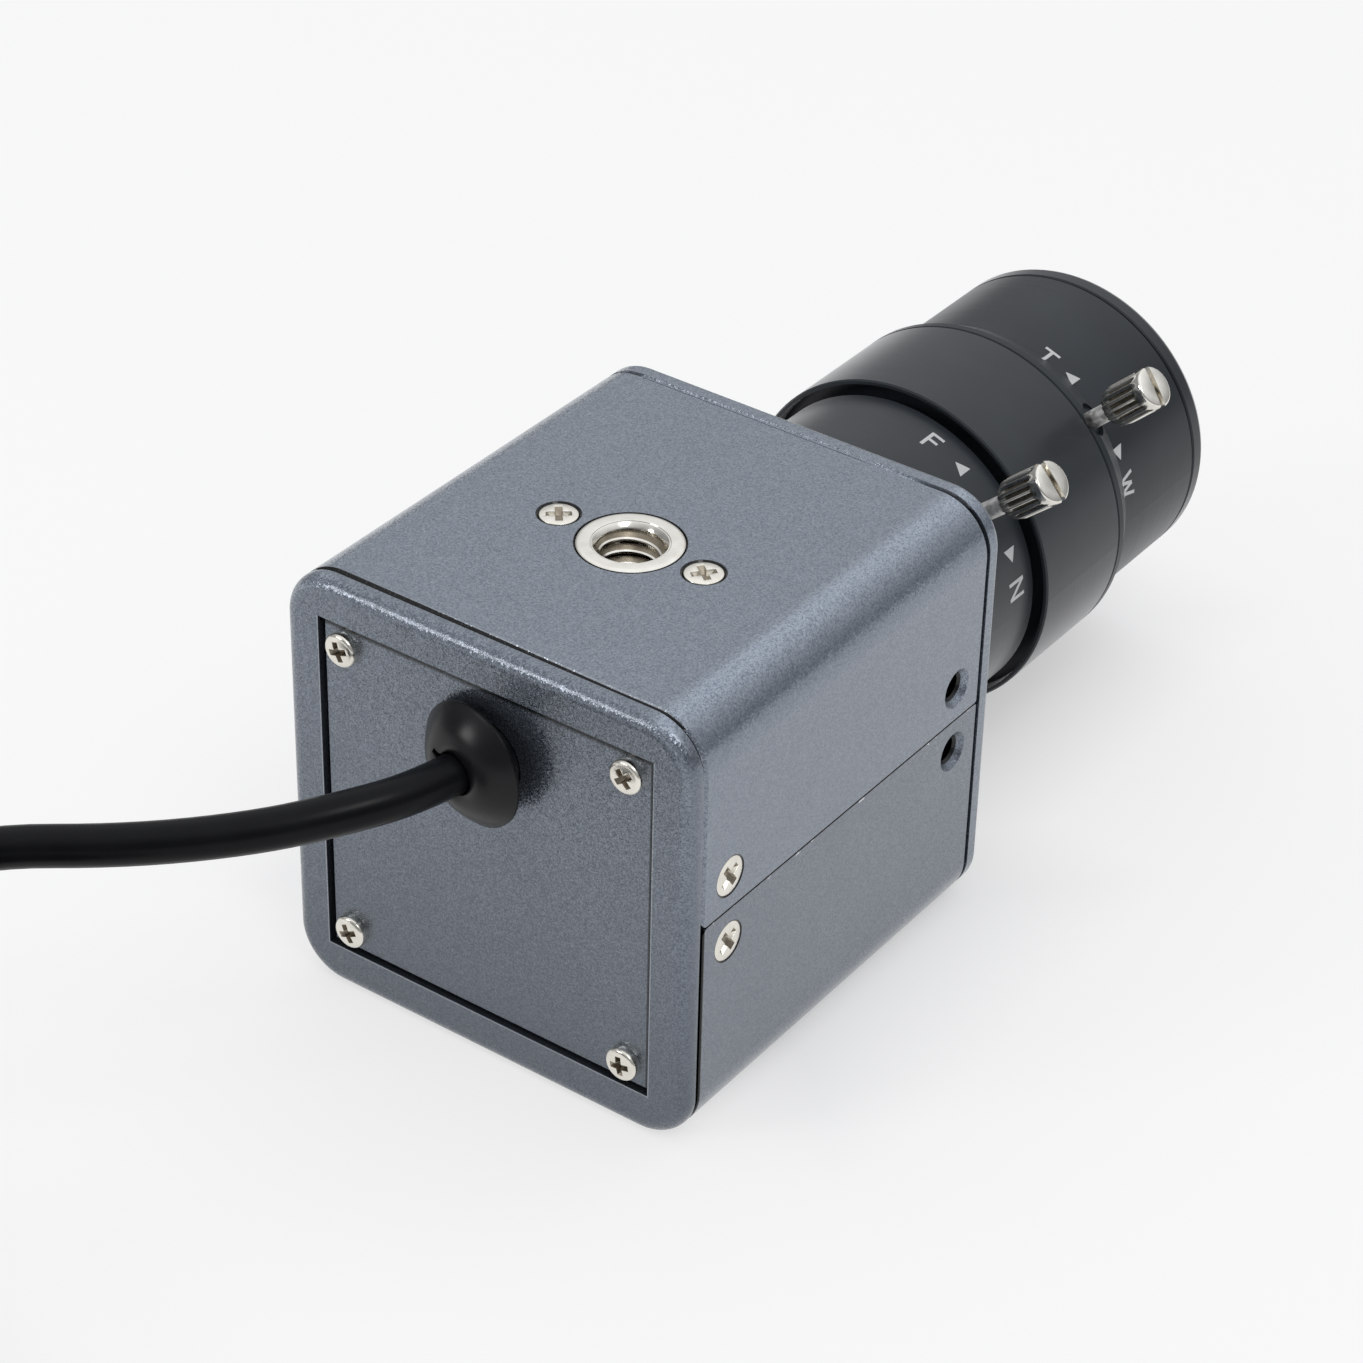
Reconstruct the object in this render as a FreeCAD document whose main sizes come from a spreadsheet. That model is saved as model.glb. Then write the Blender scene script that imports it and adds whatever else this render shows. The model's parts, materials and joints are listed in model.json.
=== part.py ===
import FreeCAD, Part
import Sketcher
import math
import os
from types import SimpleNamespace

from FreeCAD import Placement, Rotation, Vector

# Small box camera with a varifocal lens and a cable. Lengths are in mm and angles in degrees.
# The box stands on z = 0, the lens looks along +Y and the cable leaves the rear at -Y.

SIZES = [
    # Box
    ("case_width", 43.0, "outside width of the square box"),
    ("case_height", 43.0, "outside height of the square box"),
    ("case_depth", 46.0, "from the rear face to the front face"),
    ("case_corner", 5.0, "radius of the box's four long corners"),
    ("cover_wall", 1.6, "wall of the half shells"),
    ("cover_bevel", 0.25, "bevel on the shells' end edges"),
    ("cover_slack", 0.15, "how much shorter the lower shell is at the rear"),
    ("parting_height", 22.8, "height of the joint between the shells"),
    ("parting_gap", 0.12, "gap of that joint"),
    ("parting_round", 0.7, "round at the ends of that joint"),
    ("rim_thickness", 1.6, "outer rim of the two end frames"),
    ("rim_gap", 0.32, "between a shell's end and a frame's rim"),
    ("rear_edge_round", 1.4, "rounded edge of the rear frame"),
    ("front_edge_round", 0.6, "rounded edge of the front frame"),
    ("skirt_gap", 0.1, "between a shell and the frame inside it"),
    ("skirt_wall", 2.8, "wall of a frame's skirt"),
    ("skirt_depth", 8.0, "how far a frame reaches into the shells"),
    # Rear panel
    ("window_border_side", 3.9, "rear frame beside its window"),
    ("window_border_top", 4.1, "rear frame above and below its window"),
    ("window_raise", 0.25, "height of the window's centre above the box's centre"),
    ("panel_gap", 0.42, "gap round the panel"),
    ("panel_shift", 0.12, "how far the panel sits off the window's centre"),
    ("panel_thickness", 1.5, "rear panel"),
    ("panel_recess", 0.35, "depth of the panel's face in the window"),
    ("ledge_depth", 3.0, "ledge that the panel is screwed to"),
    ("ledge_side", 4.9, "width of that ledge beside its opening"),
    ("ledge_top", 1.9, "width of that ledge above and below its opening"),
    ("ledge_corner", 2.5, "corner radius of that opening"),
    ("skirt_corner", 1.5, "corner radius inside the skirts"),
    ("panel_screw_inset_side", 2.6, "from the window's side to the panel screws"),
    ("panel_screw_inset_top", 2.4, "from the window's top and bottom to the panel screws"),
    ("panel_screw_head_radius", 1.6, "pan head"),
    ("panel_screw_head_height", 1.0, "pan head"),
    ("panel_screw_radius", 0.8, "thread of the panel screws"),
    ("panel_screw_length", 3.6, "under the head"),
    ("screw_clearance", 0.12, "radial gap of a clearance hole"),
    # Side screws
    ("side_screw_setback", 3.8, "from a shell's end to the side screws"),
    ("side_screw_offset", 3.4, "from the shells' joint to the side screws"),
    ("side_screw_head_radius", 1.86, "countersunk head"),
    ("side_screw_head_height", 0.75, "countersunk head"),
    ("side_screw_radius", 1.1, "thread of the side screws"),
    ("side_screw_length", 4.2, "over all"),
    ("countersink_gap", 0.07, "gap round a countersunk head"),
    # Tripod nut
    ("nut_offset", 2.5, "from the box's middle back to the nut"),
    ("nut_collar_radius", 4.75, "collar in the upper shell"),
    ("nut_collar_gap", 0.12, "gap round the collar"),
    ("nut_proud", 0.12, "how far the collar stands above the shell"),
    ("nut_plate_length", 21.5, "oblong plate under the shell"),
    ("nut_plate_width", 11.0, "oblong plate under the shell"),
    ("nut_plate_thickness", 2.4, "oblong plate under the shell"),
    ("nut_plate_corner", 2.0, "oblong plate under the shell"),
    ("nut_boss_radius", 5.2, "boss below the plate"),
    ("tripod_bore_radius", 3.175, "quarter inch tripod thread"),
    ("tripod_bore_length", 5.6, "length of that thread with its mouth"),
    ("tripod_bore_bevel", 0.35, "bevel at the thread's mouth"),
    ("nut_screw_offset", 7.7, "from the nut's middle to its screws"),
    ("nut_screw_head_radius", 1.76, "countersunk head"),
    ("nut_screw_head_height", 0.95, "countersunk head"),
    ("nut_screw_radius", 0.9, "thread of the nut's screws"),
    ("nut_screw_length", 3.8, "over all"),
    ("nut_sink_gap", 0.2, "gap round those heads"),
    # Cable passage
    ("grommet_side", 0.2, "from the box's middle sideways to the grommet"),
    ("grommet_drop", 11.15, "from the box's top down to the grommet"),
    ("grommet_lean", 10.0, "lean of the grommet's head"),
    ("grommet_lift", 1.1, "from the panel to the pivot of the lean"),
    ("grommet_head_radius", 5.75, "rim of the head"),
    ("grommet_rim", 0.45, "thickness of that rim"),
    ("grommet_head_height", 2.4, "height of the domed head"),
    ("grommet_crown_radius", 2.6, "flat at the top of the head"),
    ("grommet_neck_radius", 3.9, "neck in the panel"),
    ("grommet_neck_gap", 0.1, "gap round the neck"),
    ("grommet_flange_radius", 5.2, "flange behind the panel"),
    ("grommet_flange", 1.2, "thickness of that flange"),
    ("cable_radius", 1.85, "outside of the cable"),
    ("cable_gap", 0.06, "gap round the cable in the grommet"),
    ("cable_inner_length", 11.0, "from the panel to the stripped end inside"),
    ("tie_ring_radius", 2.9, "strain tie round the cable inside"),
    ("tie_ring_width", 2.4, "strain tie round the cable inside"),
    ("tie_head", 2.4, "head of the strain tie"),
    ("wire_radius", 0.4, "one inner wire"),
    ("wire_pitch", 0.92, "spacing of the inner wires"),
    # Lens mount and board
    ("front_plate", 2.6, "front wall of the front frame"),
    ("mount_gap", 0.1, "gap round the mount's collar"),
    ("mount_radius", 14.3, "collar of the lens mount"),
    ("mount_reach", 2.2, "how far the collar stands out of the front face"),
    ("mount_bevel", 0.3, "bevels of the collar"),
    ("mount_thread_radius", 12.7, "one inch lens thread"),
    ("mount_thread_length", 4.8, "depth of that thread"),
    ("inner_clearance", 1.0, "between a skirt and the flange or board inside it"),
    ("mount_flange_corner", 2.5, "corner of the mount's flange"),
    ("mount_flange_thickness", 2.4, "square flange behind the front wall"),
    ("hood_radius", 10.2, "tube round the sensor"),
    ("hood_bore", 8.6, "tube round the sensor"),
    ("hood_length", 4.0, "tube behind the flange"),
    ("filter_seat_bore", 7.2, "ledge that the filter rests on"),
    ("filter_seat_depth", 1.0, "ledge that the filter rests on"),
    ("filter_thickness", 0.6, "infrared filter"),
    ("filter_gap", 0.1, "gap round the filter"),
    ("pillar_radius", 2.4, "pillars between board and flange"),
    ("pillar_inset", 2.8, "from the flange's edges to a pillar"),
    ("flange_focal", 12.526, "from the mount's face to the sensor"),
    ("board_corner", 1.5, "corner of the board"),
    ("board_thickness", 1.6, "board"),
    ("board_screw_radius", 0.9, "long screws through board and pillars"),
    ("board_screw_head_radius", 1.8, "their heads"),
    ("board_screw_head_height", 1.3, "their heads"),
    ("board_screw_bite", 1.7, "how far they reach into the front wall"),
    ("sensor_size", 10.5, "sensor package"),
    ("sensor_height", 0.9, "sensor package"),
    ("sensor_glass_size", 8.6, "cover glass"),
    ("sensor_glass_thickness", 0.5, "cover glass"),
    ("processor_size", 9.0, "processor"),
    ("processor_height", 1.0, "processor"),
    ("processor_side", 5.0, "from the board's middle to the processor"),
    ("processor_drop", 4.0, "processor below the board's middle"),
    ("memory_width", 6.0, "memory"),
    ("memory_tall", 5.0, "memory"),
    ("memory_height", 0.8, "memory"),
    ("memory_side", 6.0, "from the board's middle to the memory"),
    ("memory_drop", 3.0, "memory below the board's middle"),
    ("crystal_width", 3.2, "crystal"),
    ("crystal_tall", 2.5, "crystal"),
    ("crystal_height", 0.8, "crystal"),
    ("crystal_drop", 10.5, "crystal below the board's middle"),
    ("socket_width", 8.0, "socket on the board"),
    ("socket_tall", 4.4, "socket on the board"),
    ("socket_depth", 3.6, "socket on the board"),
    ("socket_plug_width", 6.6, "plug of the inner wires"),
    ("socket_plug_tall", 3.4, "plug of the inner wires"),
    ("socket_plug_depth", 3.2, "plug of the inner wires"),
    # Lens
    ("lens_thread_gap", 0.05, "gap of the lens thread"),
    ("lens_thread_length", 4.2, "thread of the lens"),
    ("lens_rear_bore", 10.8, "rear opening of the lens"),
    ("lens_seat_width", 2.0, "shoulder that sits on the mount, outside the tube"),
    ("lens_seat_thickness", 1.3, "shoulder that sits on the mount"),
    ("lens_seat_bevel", 0.2, "bevels of that shoulder"),
    ("tube_radius", 13.2, "outside of the fixed tubes"),
    ("tube_wall", 1.0, "wall of the fixed tubes"),
    ("ring_clearance", 0.06, "running gap between rings and tubes"),
    ("ring_end_gap", 0.2, "gap between the lens's rings"),
    ("ring_bevel", 0.3, "bevels on the rings' edges"),
    ("focus_ring_wall", 2.45, "focus ring outside the tube"),
    ("focus_ring_length", 13.6, "focus ring"),
    ("barrel_wall", 3.8, "fixed collar in the middle, outside the tube"),
    ("barrel_length", 13.0, "fixed collar in the middle"),
    ("barrel_socket_depth", 6.1, "how far the base's tube goes into it"),
    ("barrel_hood_depth", 2.0, "hollow behind the collar's rear rim"),
    ("barrel_hood_wall", 0.45, "wall round that hollow"),
    ("socket_gap", 0.02, "gap of a fixed tube joint"),
    ("zoom_ring_wall", 2.5, "zoom ring outside the tube"),
    ("zoom_ring_length", 16.3, "zoom ring"),
    ("zoom_flange", 0.8, "full width at the rear of the zoom ring"),
    ("zoom_flare", 2.6, "length of the cone behind it"),
    ("front_ring_length", 1.9, "front ring"),
    ("front_ring_round", 0.5, "round of the front edge"),
    ("front_ring_lip", 0.75, "lip over the tube's end"),
    ("front_lip_reach", 0.1, "how far that lip reaches inside the tube"),
    ("groove_depth", 1.05, "groove inside the rings for the pins"),
    ("pin_radius", 0.7, "guide pins"),
    ("pin_reach", 0.75, "how far the pins stand out of the tube"),
    ("slot_gap", 0.12, "gap beside a pin in its slot"),
    ("cell_gap", 0.06, "sliding gap round the lens cells"),
    ("rear_cell_setback", 2.8, "from the mount's face to the rear cell"),
    ("rear_cell_length", 10.0, "rear cell"),
    ("rear_cell_wall", 2.54, "rear cell round its glass"),
    ("rear_cell_lip", 2.1, "lip behind the rear glass"),
    ("rear_cell_seat", 4.0, "from the cell's rear face to the glass"),
    ("rear_glass_curve", 20.0, "radius of the rear glass's face"),
    ("rear_glass_height", 5.0, "thickness of the rear glass"),
    ("rear_pin_inset", 5.0, "from the cell's rear face to its pin"),
    ("rear_travel", 2.0, "travel of the rear cell each way"),
    ("front_cell_setback", 5.5, "from the fixed collar to the front cell"),
    ("front_cell_length", 10.3, "front cell"),
    ("front_cell_wall", 1.14, "front cell round its glass"),
    ("front_cell_lip", 1.0, "lip behind the front glass"),
    ("front_cell_seat", 5.0, "from the cell's rear face to the glass"),
    ("front_glass_curve", 26.0, "radius of the front glass's face"),
    ("front_glass_height", 4.5, "thickness of the front glass"),
    ("front_pin_inset", 2.0, "from the cell's rear face to its pin"),
    ("front_travel", 1.5, "travel of the front cell each way"),
    ("glass_gap", 0.05, "gap round a lens glass"),
    ("retainer_width", 0.8, "ring in front of the front glass"),
    ("retainer_gap", 0.28, "between the glass and that ring"),
    ("retainer_length", 1.5, "ring in front of the front glass"),
    ("stop_setback", 7.5, "from the fixed collar's rear to the aperture stop"),
    ("stop_thickness", 0.5, "aperture stop"),
    ("stop_bore", 5.0, "opening of the stop"),
    # Lock screws
    ("lock_head_radius", 2.05, "thumb screw head"),
    ("lock_head_length", 5.4, "thumb screw head"),
    ("lock_head_bevel", 0.3, "bevels of the head"),
    ("lock_shaft_radius", 0.9, "thumb screw thread"),
    ("lock_hole_gap", 0.05, "gap of that thread"),
    ("lock_tip_gap", 0.35, "from the screw's point to the tube"),
    ("focus_lock_angle", 40.6, "focus lock above the level"),
    ("focus_lock_setback", 8.9, "from the focus ring's rear to its lock"),
    ("focus_lock_stand", 9.75, "how far the focus lock stands out of its ring"),
    ("zoom_lock_angle", 43.0, "zoom lock above the level"),
    ("zoom_lock_setback", 1.8, "from the zoom ring's rear to its lock"),
    ("zoom_lock_stand", 8.0, "how far the zoom lock stands out of its ring"),
    ("lock_sink_radius", 1.8, "sunk seat round the zoom lock"),
    ("lock_sink_depth", 1.5, "depth of that seat"),
    # Coil and plug
    ("coil_x", -21.0, "centre of the coil"),
    ("coil_y", -105.0, "centre of the coil"),
    ("coil_lift", 0.8, "coil above the surface, on its tie"),
    ("coil_inner", 14.5, "inside of the coil"),
    ("coil_outer", 29.5, "outside of the coil"),
    ("coil_step", 21.9, "inside of the coil's top layer"),
    ("coil_layer", 3.75, "height of one layer"),
    ("tie_width", 5.0, "strap round the coil"),
    ("tie_thickness", 0.65, "strap round the coil"),
    ("tie_slack", 0.1, "gap inside the strap"),
    ("tie_inset", 0.25, "inner side of the strap inside the coil's edge"),
    ("plug_start", -0.4, "cable end of the plug from the coil's centre"),
    ("plug_side", 18.5, "plug's axis from the coil's centre"),
    ("plug_rest_gap", 0.1, "plug above the coil's top"),
    ("plug_sleeve_length", 9.0, "bend sleeve of the plug"),
    ("plug_sleeve_thin", 2.5, "radius at its cable end"),
    ("plug_sleeve_thick", 3.3, "radius at the grip"),
    ("plug_grip_length", 20.0, "grip of the plug"),
    ("plug_grip_width", 15.4, "grip of the plug"),
    ("plug_grip_height", 7.6, "grip of the plug"),
    ("plug_grip_round", 2.2, "corners of the grip"),
    ("plug_grip_bevel", 0.6, "end edges of the grip"),
    ("plug_shell_length", 14.6, "metal shell in front of the grip"),
    ("plug_shell_width", 12.0, "metal shell"),
    ("plug_shell_height", 4.5, "metal shell"),
    ("plug_shell_wall", 0.32, "metal shell"),
    ("plug_window_length", 2.5, "spring windows in the shell"),
    ("plug_window_width", 2.2, "spring windows in the shell"),
    ("plug_window_inset", 5.0, "from the shell's edge to its windows"),
    ("plug_window_pitch", 5.2, "spacing of the windows"),
    ("plug_tongue_height", 1.9, "insulator in the shell"),
    ("plug_tongue_inset", 0.6, "insulator behind the shell's edge"),
    ("plug_tongue_gap", 0.05, "gap beside the insulator"),
    ("contact_pitch", 2.3, "spacing of the contacts"),
    ("contact_width", 1.0, "one contact"),
    ("contact_length", 8.5, "one contact"),
    ("contact_height", 0.2, "one contact"),
]

# The cable from the grommet to the coil, and from the coil to the plug.
LEAD_ROUTE = [
    (-0.26, -24.09, 31.85),
    (-1.23, -29.61, 31.85),
    (-4.3, -35.0, 31.5),
    (-9.4, -40.7, 30.4),
    (-17.9, -47.3, 29.1),
    (-28.2, -53.4, 28.1),
    (-37.0, -61.0, 25.0),
    (-43.4, -69.6, 19.2),
    (-47.5, -78.3, 11.6),
    (-49.0, -86.7, 5.6),
    (-49.1, -94.6, 2.9),
    (-48.6, -102.0, 2.7),
]
TAIL_ROUTE = [
    (-44.85, -100.04, 10.2),
    (-44.85, -109.96, 10.5),
    (-39.89, -118.54, 12.4),
    (-31.31, -123.5, 15.2),
    (-21.6, -123.5, 15.9),
]


class Formula:
    """A size worked out from the sheet: the text that binds it, and its present value."""

    def __init__(self, text, value):
        self.text = text
        self.value = value

    @staticmethod
    def of(number):
        if isinstance(number, Formula):
            return number
        return Formula(repr(float(number)), float(number))

    def __add__(self, other):
        other = Formula.of(other)
        return Formula(f"({self.text} + {other.text})", self.value + other.value)

    def __sub__(self, other):
        other = Formula.of(other)
        return Formula(f"({self.text} - {other.text})", self.value - other.value)

    def __mul__(self, other):
        other = Formula.of(other)
        return Formula(f"({self.text} * {other.text})", self.value * other.value)

    def __truediv__(self, other):
        other = Formula.of(other)
        return Formula(f"({self.text} / {other.text})", self.value / other.value)

    def __radd__(self, other):
        return Formula.of(other) + self

    def __rsub__(self, other):
        return Formula.of(other) - self

    def __rmul__(self, other):
        return Formula.of(other) * self

    def __neg__(self):
        return Formula(f"(0 - {self.text})", -self.value)


def root(formula):
    return Formula(f"sqrt({formula.text})", math.sqrt(formula.value))


def write_sheet(doc):
    """Put the sizes in a sheet and return them as formulas by name."""
    sheet = doc.addObject("Spreadsheet::Sheet", "Sizes")
    sizes = {}
    for row, (alias, value, note) in enumerate(SIZES, start=1):
        sheet.set(f"A{row}", note)
        sheet.set(f"B{row}", str(value))
        sheet.setAlias(f"B{row}", alias)
        sizes[alias] = Formula(f"Sizes.{alias}", value)
    doc.recompute()
    return SimpleNamespace(**sizes)


doc = FreeCAD.newDocument("camera_module")
S = write_sheet(doc)
nodes = {}

# Turns that bring a primitive's own axis (Z) along the named direction.
ALONG = {
    "+x": Rotation(Vector(0, 1, 0), 90),
    "-x": Rotation(Vector(0, 1, 0), -90),
    "+y": Rotation(Vector(1, 0, 0), -90),
    "-y": Rotation(Vector(1, 0, 0), 90),
    "+z": Rotation(),
}


def bind(thing, **formulas):
    """Bind properties of an object to the sheet; Base_x stands for Placement.Base.x."""
    for name, formula in formulas.items():
        path = name.replace("Base_", "Placement.Base.")
        thing.setExpression(path, Formula.of(formula).text)


def at(thing, x, y, z):
    bind(thing, Base_x=x, Base_y=y, Base_z=z)
    return thing


def block(name, x, y, z):
    """A box between two limits along each axis."""
    box = doc.addObject("Part::Box", name)
    bind(box, Length=x[1] - x[0], Width=y[1] - y[0], Height=z[1] - z[0])
    return at(box, x[0], y[0], z[0])


def rod(name, way, radius, start, length):
    """A cylinder that starts at a point and runs along one of the axes."""
    cylinder = doc.addObject("Part::Cylinder", name)
    cylinder.Placement.Rotation = ALONG[way]
    bind(cylinder, Radius=radius, Height=length)
    return at(cylinder, *start)


def taper(name, way, radius, end_radius, start, length):
    """A cone that starts at a point and runs along one of the axes."""
    cone = doc.addObject("Part::Cone", name)
    cone.Placement.Rotation = ALONG[way]
    bind(cone, Radius1=radius, Radius2=end_radius, Height=length)
    return at(cone, *start)


def fuse(name, members):
    thing = doc.addObject("Part::MultiFuse", name)
    thing.Shapes = members
    return thing


def group(name, members):
    """Separate solids kept in one object."""
    thing = doc.addObject("Part::Compound", name)
    thing.Links = members
    return thing


def cut(name, base, tools):
    """Take separate tools out of a base."""
    thing = doc.addObject("Part::Cut", name)
    thing.Base = base
    thing.Tool = tools[0] if len(tools) == 1 else group(f"{name}_tools", tools)
    return thing


def overlap(name, base, tool):
    thing = doc.addObject("Part::Common", name)
    thing.Base = base
    thing.Tool = tool
    return thing


def node(name, thing):
    """Name a finished piece for the export."""
    thing.Label = name
    nodes[name] = thing
    return thing


def origin_plane(body, role):
    for feature in body.Origin.OriginFeatures:
        if feature.Role == role:
            return feature


def new_sketch(body, role):
    sketch = body.newObject("Sketcher::SketchObject", f"{body.Name}_sketch")
    sketch.AttachmentSupport = [(origin_plane(body, role), "")]
    sketch.MapMode = "FlatFace"
    return sketch


def bound_constraint(sketch, kind, items, formula, name):
    index = sketch.addConstraint(Sketcher.Constraint(kind, *items, formula.value))
    sketch.renameConstraint(index, name)
    sketch.setExpression(f"Constraints.{name}", formula.text)


def turned(name, outline, axis, place=None):
    """A solid of revolution about one axis, from (along, radius) points round its half section."""
    body = doc.addObject("PartDesign::Body", name)
    sketch = new_sketch(body, "XZ_Plane" if axis == "z" else "XY_Plane")
    points = [(Formula.of(along), Formula.of(radius)) for along, radius in outline]
    if axis != "x":
        points = [(radius, along) for along, radius in points]
    corners = [Vector(a.value, b.value, 0) for a, b in points]
    for i, corner in enumerate(corners):
        sketch.addGeometry(Part.LineSegment(corner, corners[(i + 1) % len(corners)]), False)
    for i in range(len(corners)):
        sketch.addConstraint(Sketcher.Constraint("Coincident", i, 2, (i + 1) % len(corners), 1))
    for i, (a, b) in enumerate(points):
        if a.value == 0:
            sketch.addConstraint(Sketcher.Constraint("PointOnObject", i, 1, -2))
        else:
            bound_constraint(sketch, "DistanceX", (-1, 1, i, 1), a, f"across{i}")
        if b.value == 0:
            sketch.addConstraint(Sketcher.Constraint("PointOnObject", i, 1, -1))
        else:
            bound_constraint(sketch, "DistanceY", (-1, 1, i, 1), b, f"up{i}")
    turn = body.newObject("PartDesign::Revolution", f"{name}_turn")
    turn.Profile = sketch
    turn.ReferenceAxis = (sketch, ["H_Axis" if axis == "x" else "V_Axis"])
    turn.Angle = 360
    body.Tip = turn
    if place is not None:
        at(body, *place)
    return body


def rounded_outline(sketch, wide, tall, corner):
    """A rectangle with round corners about the sketch's origin."""
    half_wide = wide.value / 2
    half_tall = tall.value / 2
    r = corner.value
    inner_x = half_wide - r
    inner_y = half_tall - r
    quarter = math.pi / 2
    sides = [
        ((-inner_x, -half_tall), (inner_x, -half_tall)),
        ((half_wide, -inner_y), (half_wide, inner_y)),
        ((inner_x, half_tall), (-inner_x, half_tall)),
        ((-half_wide, inner_y), (-half_wide, -inner_y)),
    ]
    centres = [(inner_x, -inner_y), (inner_x, inner_y), (-inner_x, inner_y), (-inner_x, -inner_y)]
    for i in range(4):
        sketch.addGeometry(Part.LineSegment(Vector(*sides[i][0], 0), Vector(*sides[i][1], 0)), False)
        circle = Part.Circle(Vector(*centres[i], 0), Vector(0, 0, 1), r)
        sketch.addGeometry(Part.ArcOfCircle(circle, (i - 1) * quarter, i * quarter), False)
    for i in range(8):
        sketch.addConstraint(Sketcher.Constraint("Tangent", i, 2, (i + 1) % 8, 1))
    for i in (0, 4):
        sketch.addConstraint(Sketcher.Constraint("Horizontal", i))
    for i in (2, 6):
        sketch.addConstraint(Sketcher.Constraint("Vertical", i))
    for i in (3, 5, 7):
        sketch.addConstraint(Sketcher.Constraint("Equal", 1, i))
    sketch.addConstraint(Sketcher.Constraint("Symmetric", 1, 3, 5, 3, -1, 1))
    bound_constraint(sketch, "Radius", (1,), corner, "corner")
    bound_constraint(sketch, "DistanceX", (7, 3, 1, 3), wide - 2 * corner, "inner_width")
    bound_constraint(sketch, "DistanceY", (1, 3, 3, 3), tall - 2 * corner, "inner_height")


def end_faces(pad, direction, ends):
    """Names of a pad's two end faces, or of one of them."""
    names = []
    for i, face in enumerate(pad.Shape.Faces, start=1):
        normal = face.normalAt(0, 0)
        if face.Surface.TypeId == "Part::GeomPlane" and any(normal.dot(direction * e) > 0.99 for e in ends):
            names.append(f"Face{i}")
    return names


def plate(name, role, wide, tall, corner, thickness, place, edge=None):
    """A plate with round corners; the edge is (kind, size, ends) for its bevelled or rounded end faces.

    A plate in XZ grows towards -Y, one in XY towards +Z and one in YZ towards +X.
    """
    body = doc.addObject("PartDesign::Body", name)
    sketch = new_sketch(body, role)
    rounded_outline(sketch, Formula.of(wide), Formula.of(tall), Formula.of(corner))
    pad = body.newObject("PartDesign::Pad", f"{name}_pad")
    pad.Profile = sketch
    bind(pad, Length=thickness)
    body.Tip = pad
    if edge is not None:
        kind, size, ends = edge
        doc.recompute()
        way = {"XZ_Plane": Vector(0, -1, 0), "XY_Plane": Vector(0, 0, 1), "YZ_Plane": Vector(1, 0, 0)}[role]
        dressed = body.newObject(f"PartDesign::{kind}", f"{name}_edge")
        dressed.Base = (pad, end_faces(pad, way, ends))
        bind(dressed, **{"Radius" if kind == "Fillet" else "Size": size})
        body.Tip = dressed
    return at(body, *place)


def radial(name, angle, radius, length, place):
    """A cylinder from the lens axis outward, at an angle above +X."""
    cylinder = doc.addObject("Part::Cylinder", name)
    cylinder.Placement.Rotation = Rotation(Vector(0, 1, 0), 45)
    bind(cylinder, Radius=radius, Height=length)
    cylinder.setExpression("Placement.Rotation.Angle", (90 - angle).text)
    return at(cylinder, 0, place, axis_height)


def cable_tube(name, route):
    """A tube along straight runs that are joined by arcs as large as the runs allow."""
    points = [Vector(*p) for p in route]
    edges = []
    start = points[0]
    radii = []
    for before, corner, after in zip(points, points[1:], points[2:]):
        back = before - corner
        ahead = after - corner
        reach = 0.45 * min(back.Length, ahead.Length)
        back.normalize()
        ahead.normalize()
        half_turn = (math.pi - back.getAngle(ahead)) / 2
        radius = reach / math.tan(half_turn)
        radii.append(round(radius, 1))
        bisector = back + ahead
        bisector.normalize()
        centre = corner + bisector * (radius / math.cos(half_turn))
        first = corner + back * reach
        middle = centre - bisector * radius
        last = corner + ahead * reach
        edges.append(Part.LineSegment(start, first).toShape())
        edges.append(Part.Arc(first, middle, last).toShape())
        start = last
    edges.append(Part.LineSegment(start, points[-1]).toShape())
    path = Part.Wire(edges)
    section = Part.Circle(points[0], points[1] - points[0], S.cable_radius.value)
    tube = path.makePipeShell([Part.Wire([section.toShape()])], True, True)
    expected = math.pi * S.cable_radius.value ** 2 * path.Length
    ratio = round(tube.Volume / expected, 4)
    print(name, "radii", radii, "length", round(path.Length, 1), "volume ratio", ratio)
    thing = doc.addObject("Part::Feature", name)
    thing.Shape = tube
    return thing


# Places worked out from the sizes
half_width = S.case_width / 2
half_depth = S.case_depth / 2
axis_height = S.case_height / 2
lens_axis = (0, 0, axis_height)
rim_face = half_depth - S.rim_thickness
cover_end = rim_face - S.rim_gap
cover_length = 2 * cover_end
side_screw_inset = cover_end - S.side_screw_setback
skirt_width = S.case_width - 2 * (S.cover_wall + S.skirt_gap)
skirt_height = S.case_height - 2 * (S.cover_wall + S.skirt_gap)
skirt_round = S.case_corner - S.cover_wall - S.skirt_gap
skirt_end = rim_face - S.skirt_depth
inner_width = skirt_width - 2 * S.skirt_wall
inner_height = skirt_height - 2 * S.skirt_wall
flange_width = inner_width - 2 * S.inner_clearance
flange_height = inner_height - 2 * S.inner_clearance
window_width = S.case_width - 2 * S.window_border_side
window_height = S.case_height - 2 * S.window_border_top
window_middle = axis_height + S.window_raise
grommet_height = S.case_height - S.grommet_drop
panel_face = half_depth - S.panel_recess
panel_back = panel_face - S.panel_thickness
ledge_back = panel_back - S.ledge_depth
side_heights = [S.parting_height + S.side_screw_offset, S.parting_height - S.side_screw_offset]
front_wall_back = half_depth - S.front_plate
mount_face = half_depth + S.mount_reach
board_front = mount_face - S.flange_focal - S.sensor_height
board_back = board_front - S.board_thickness
spare = 3


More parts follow.
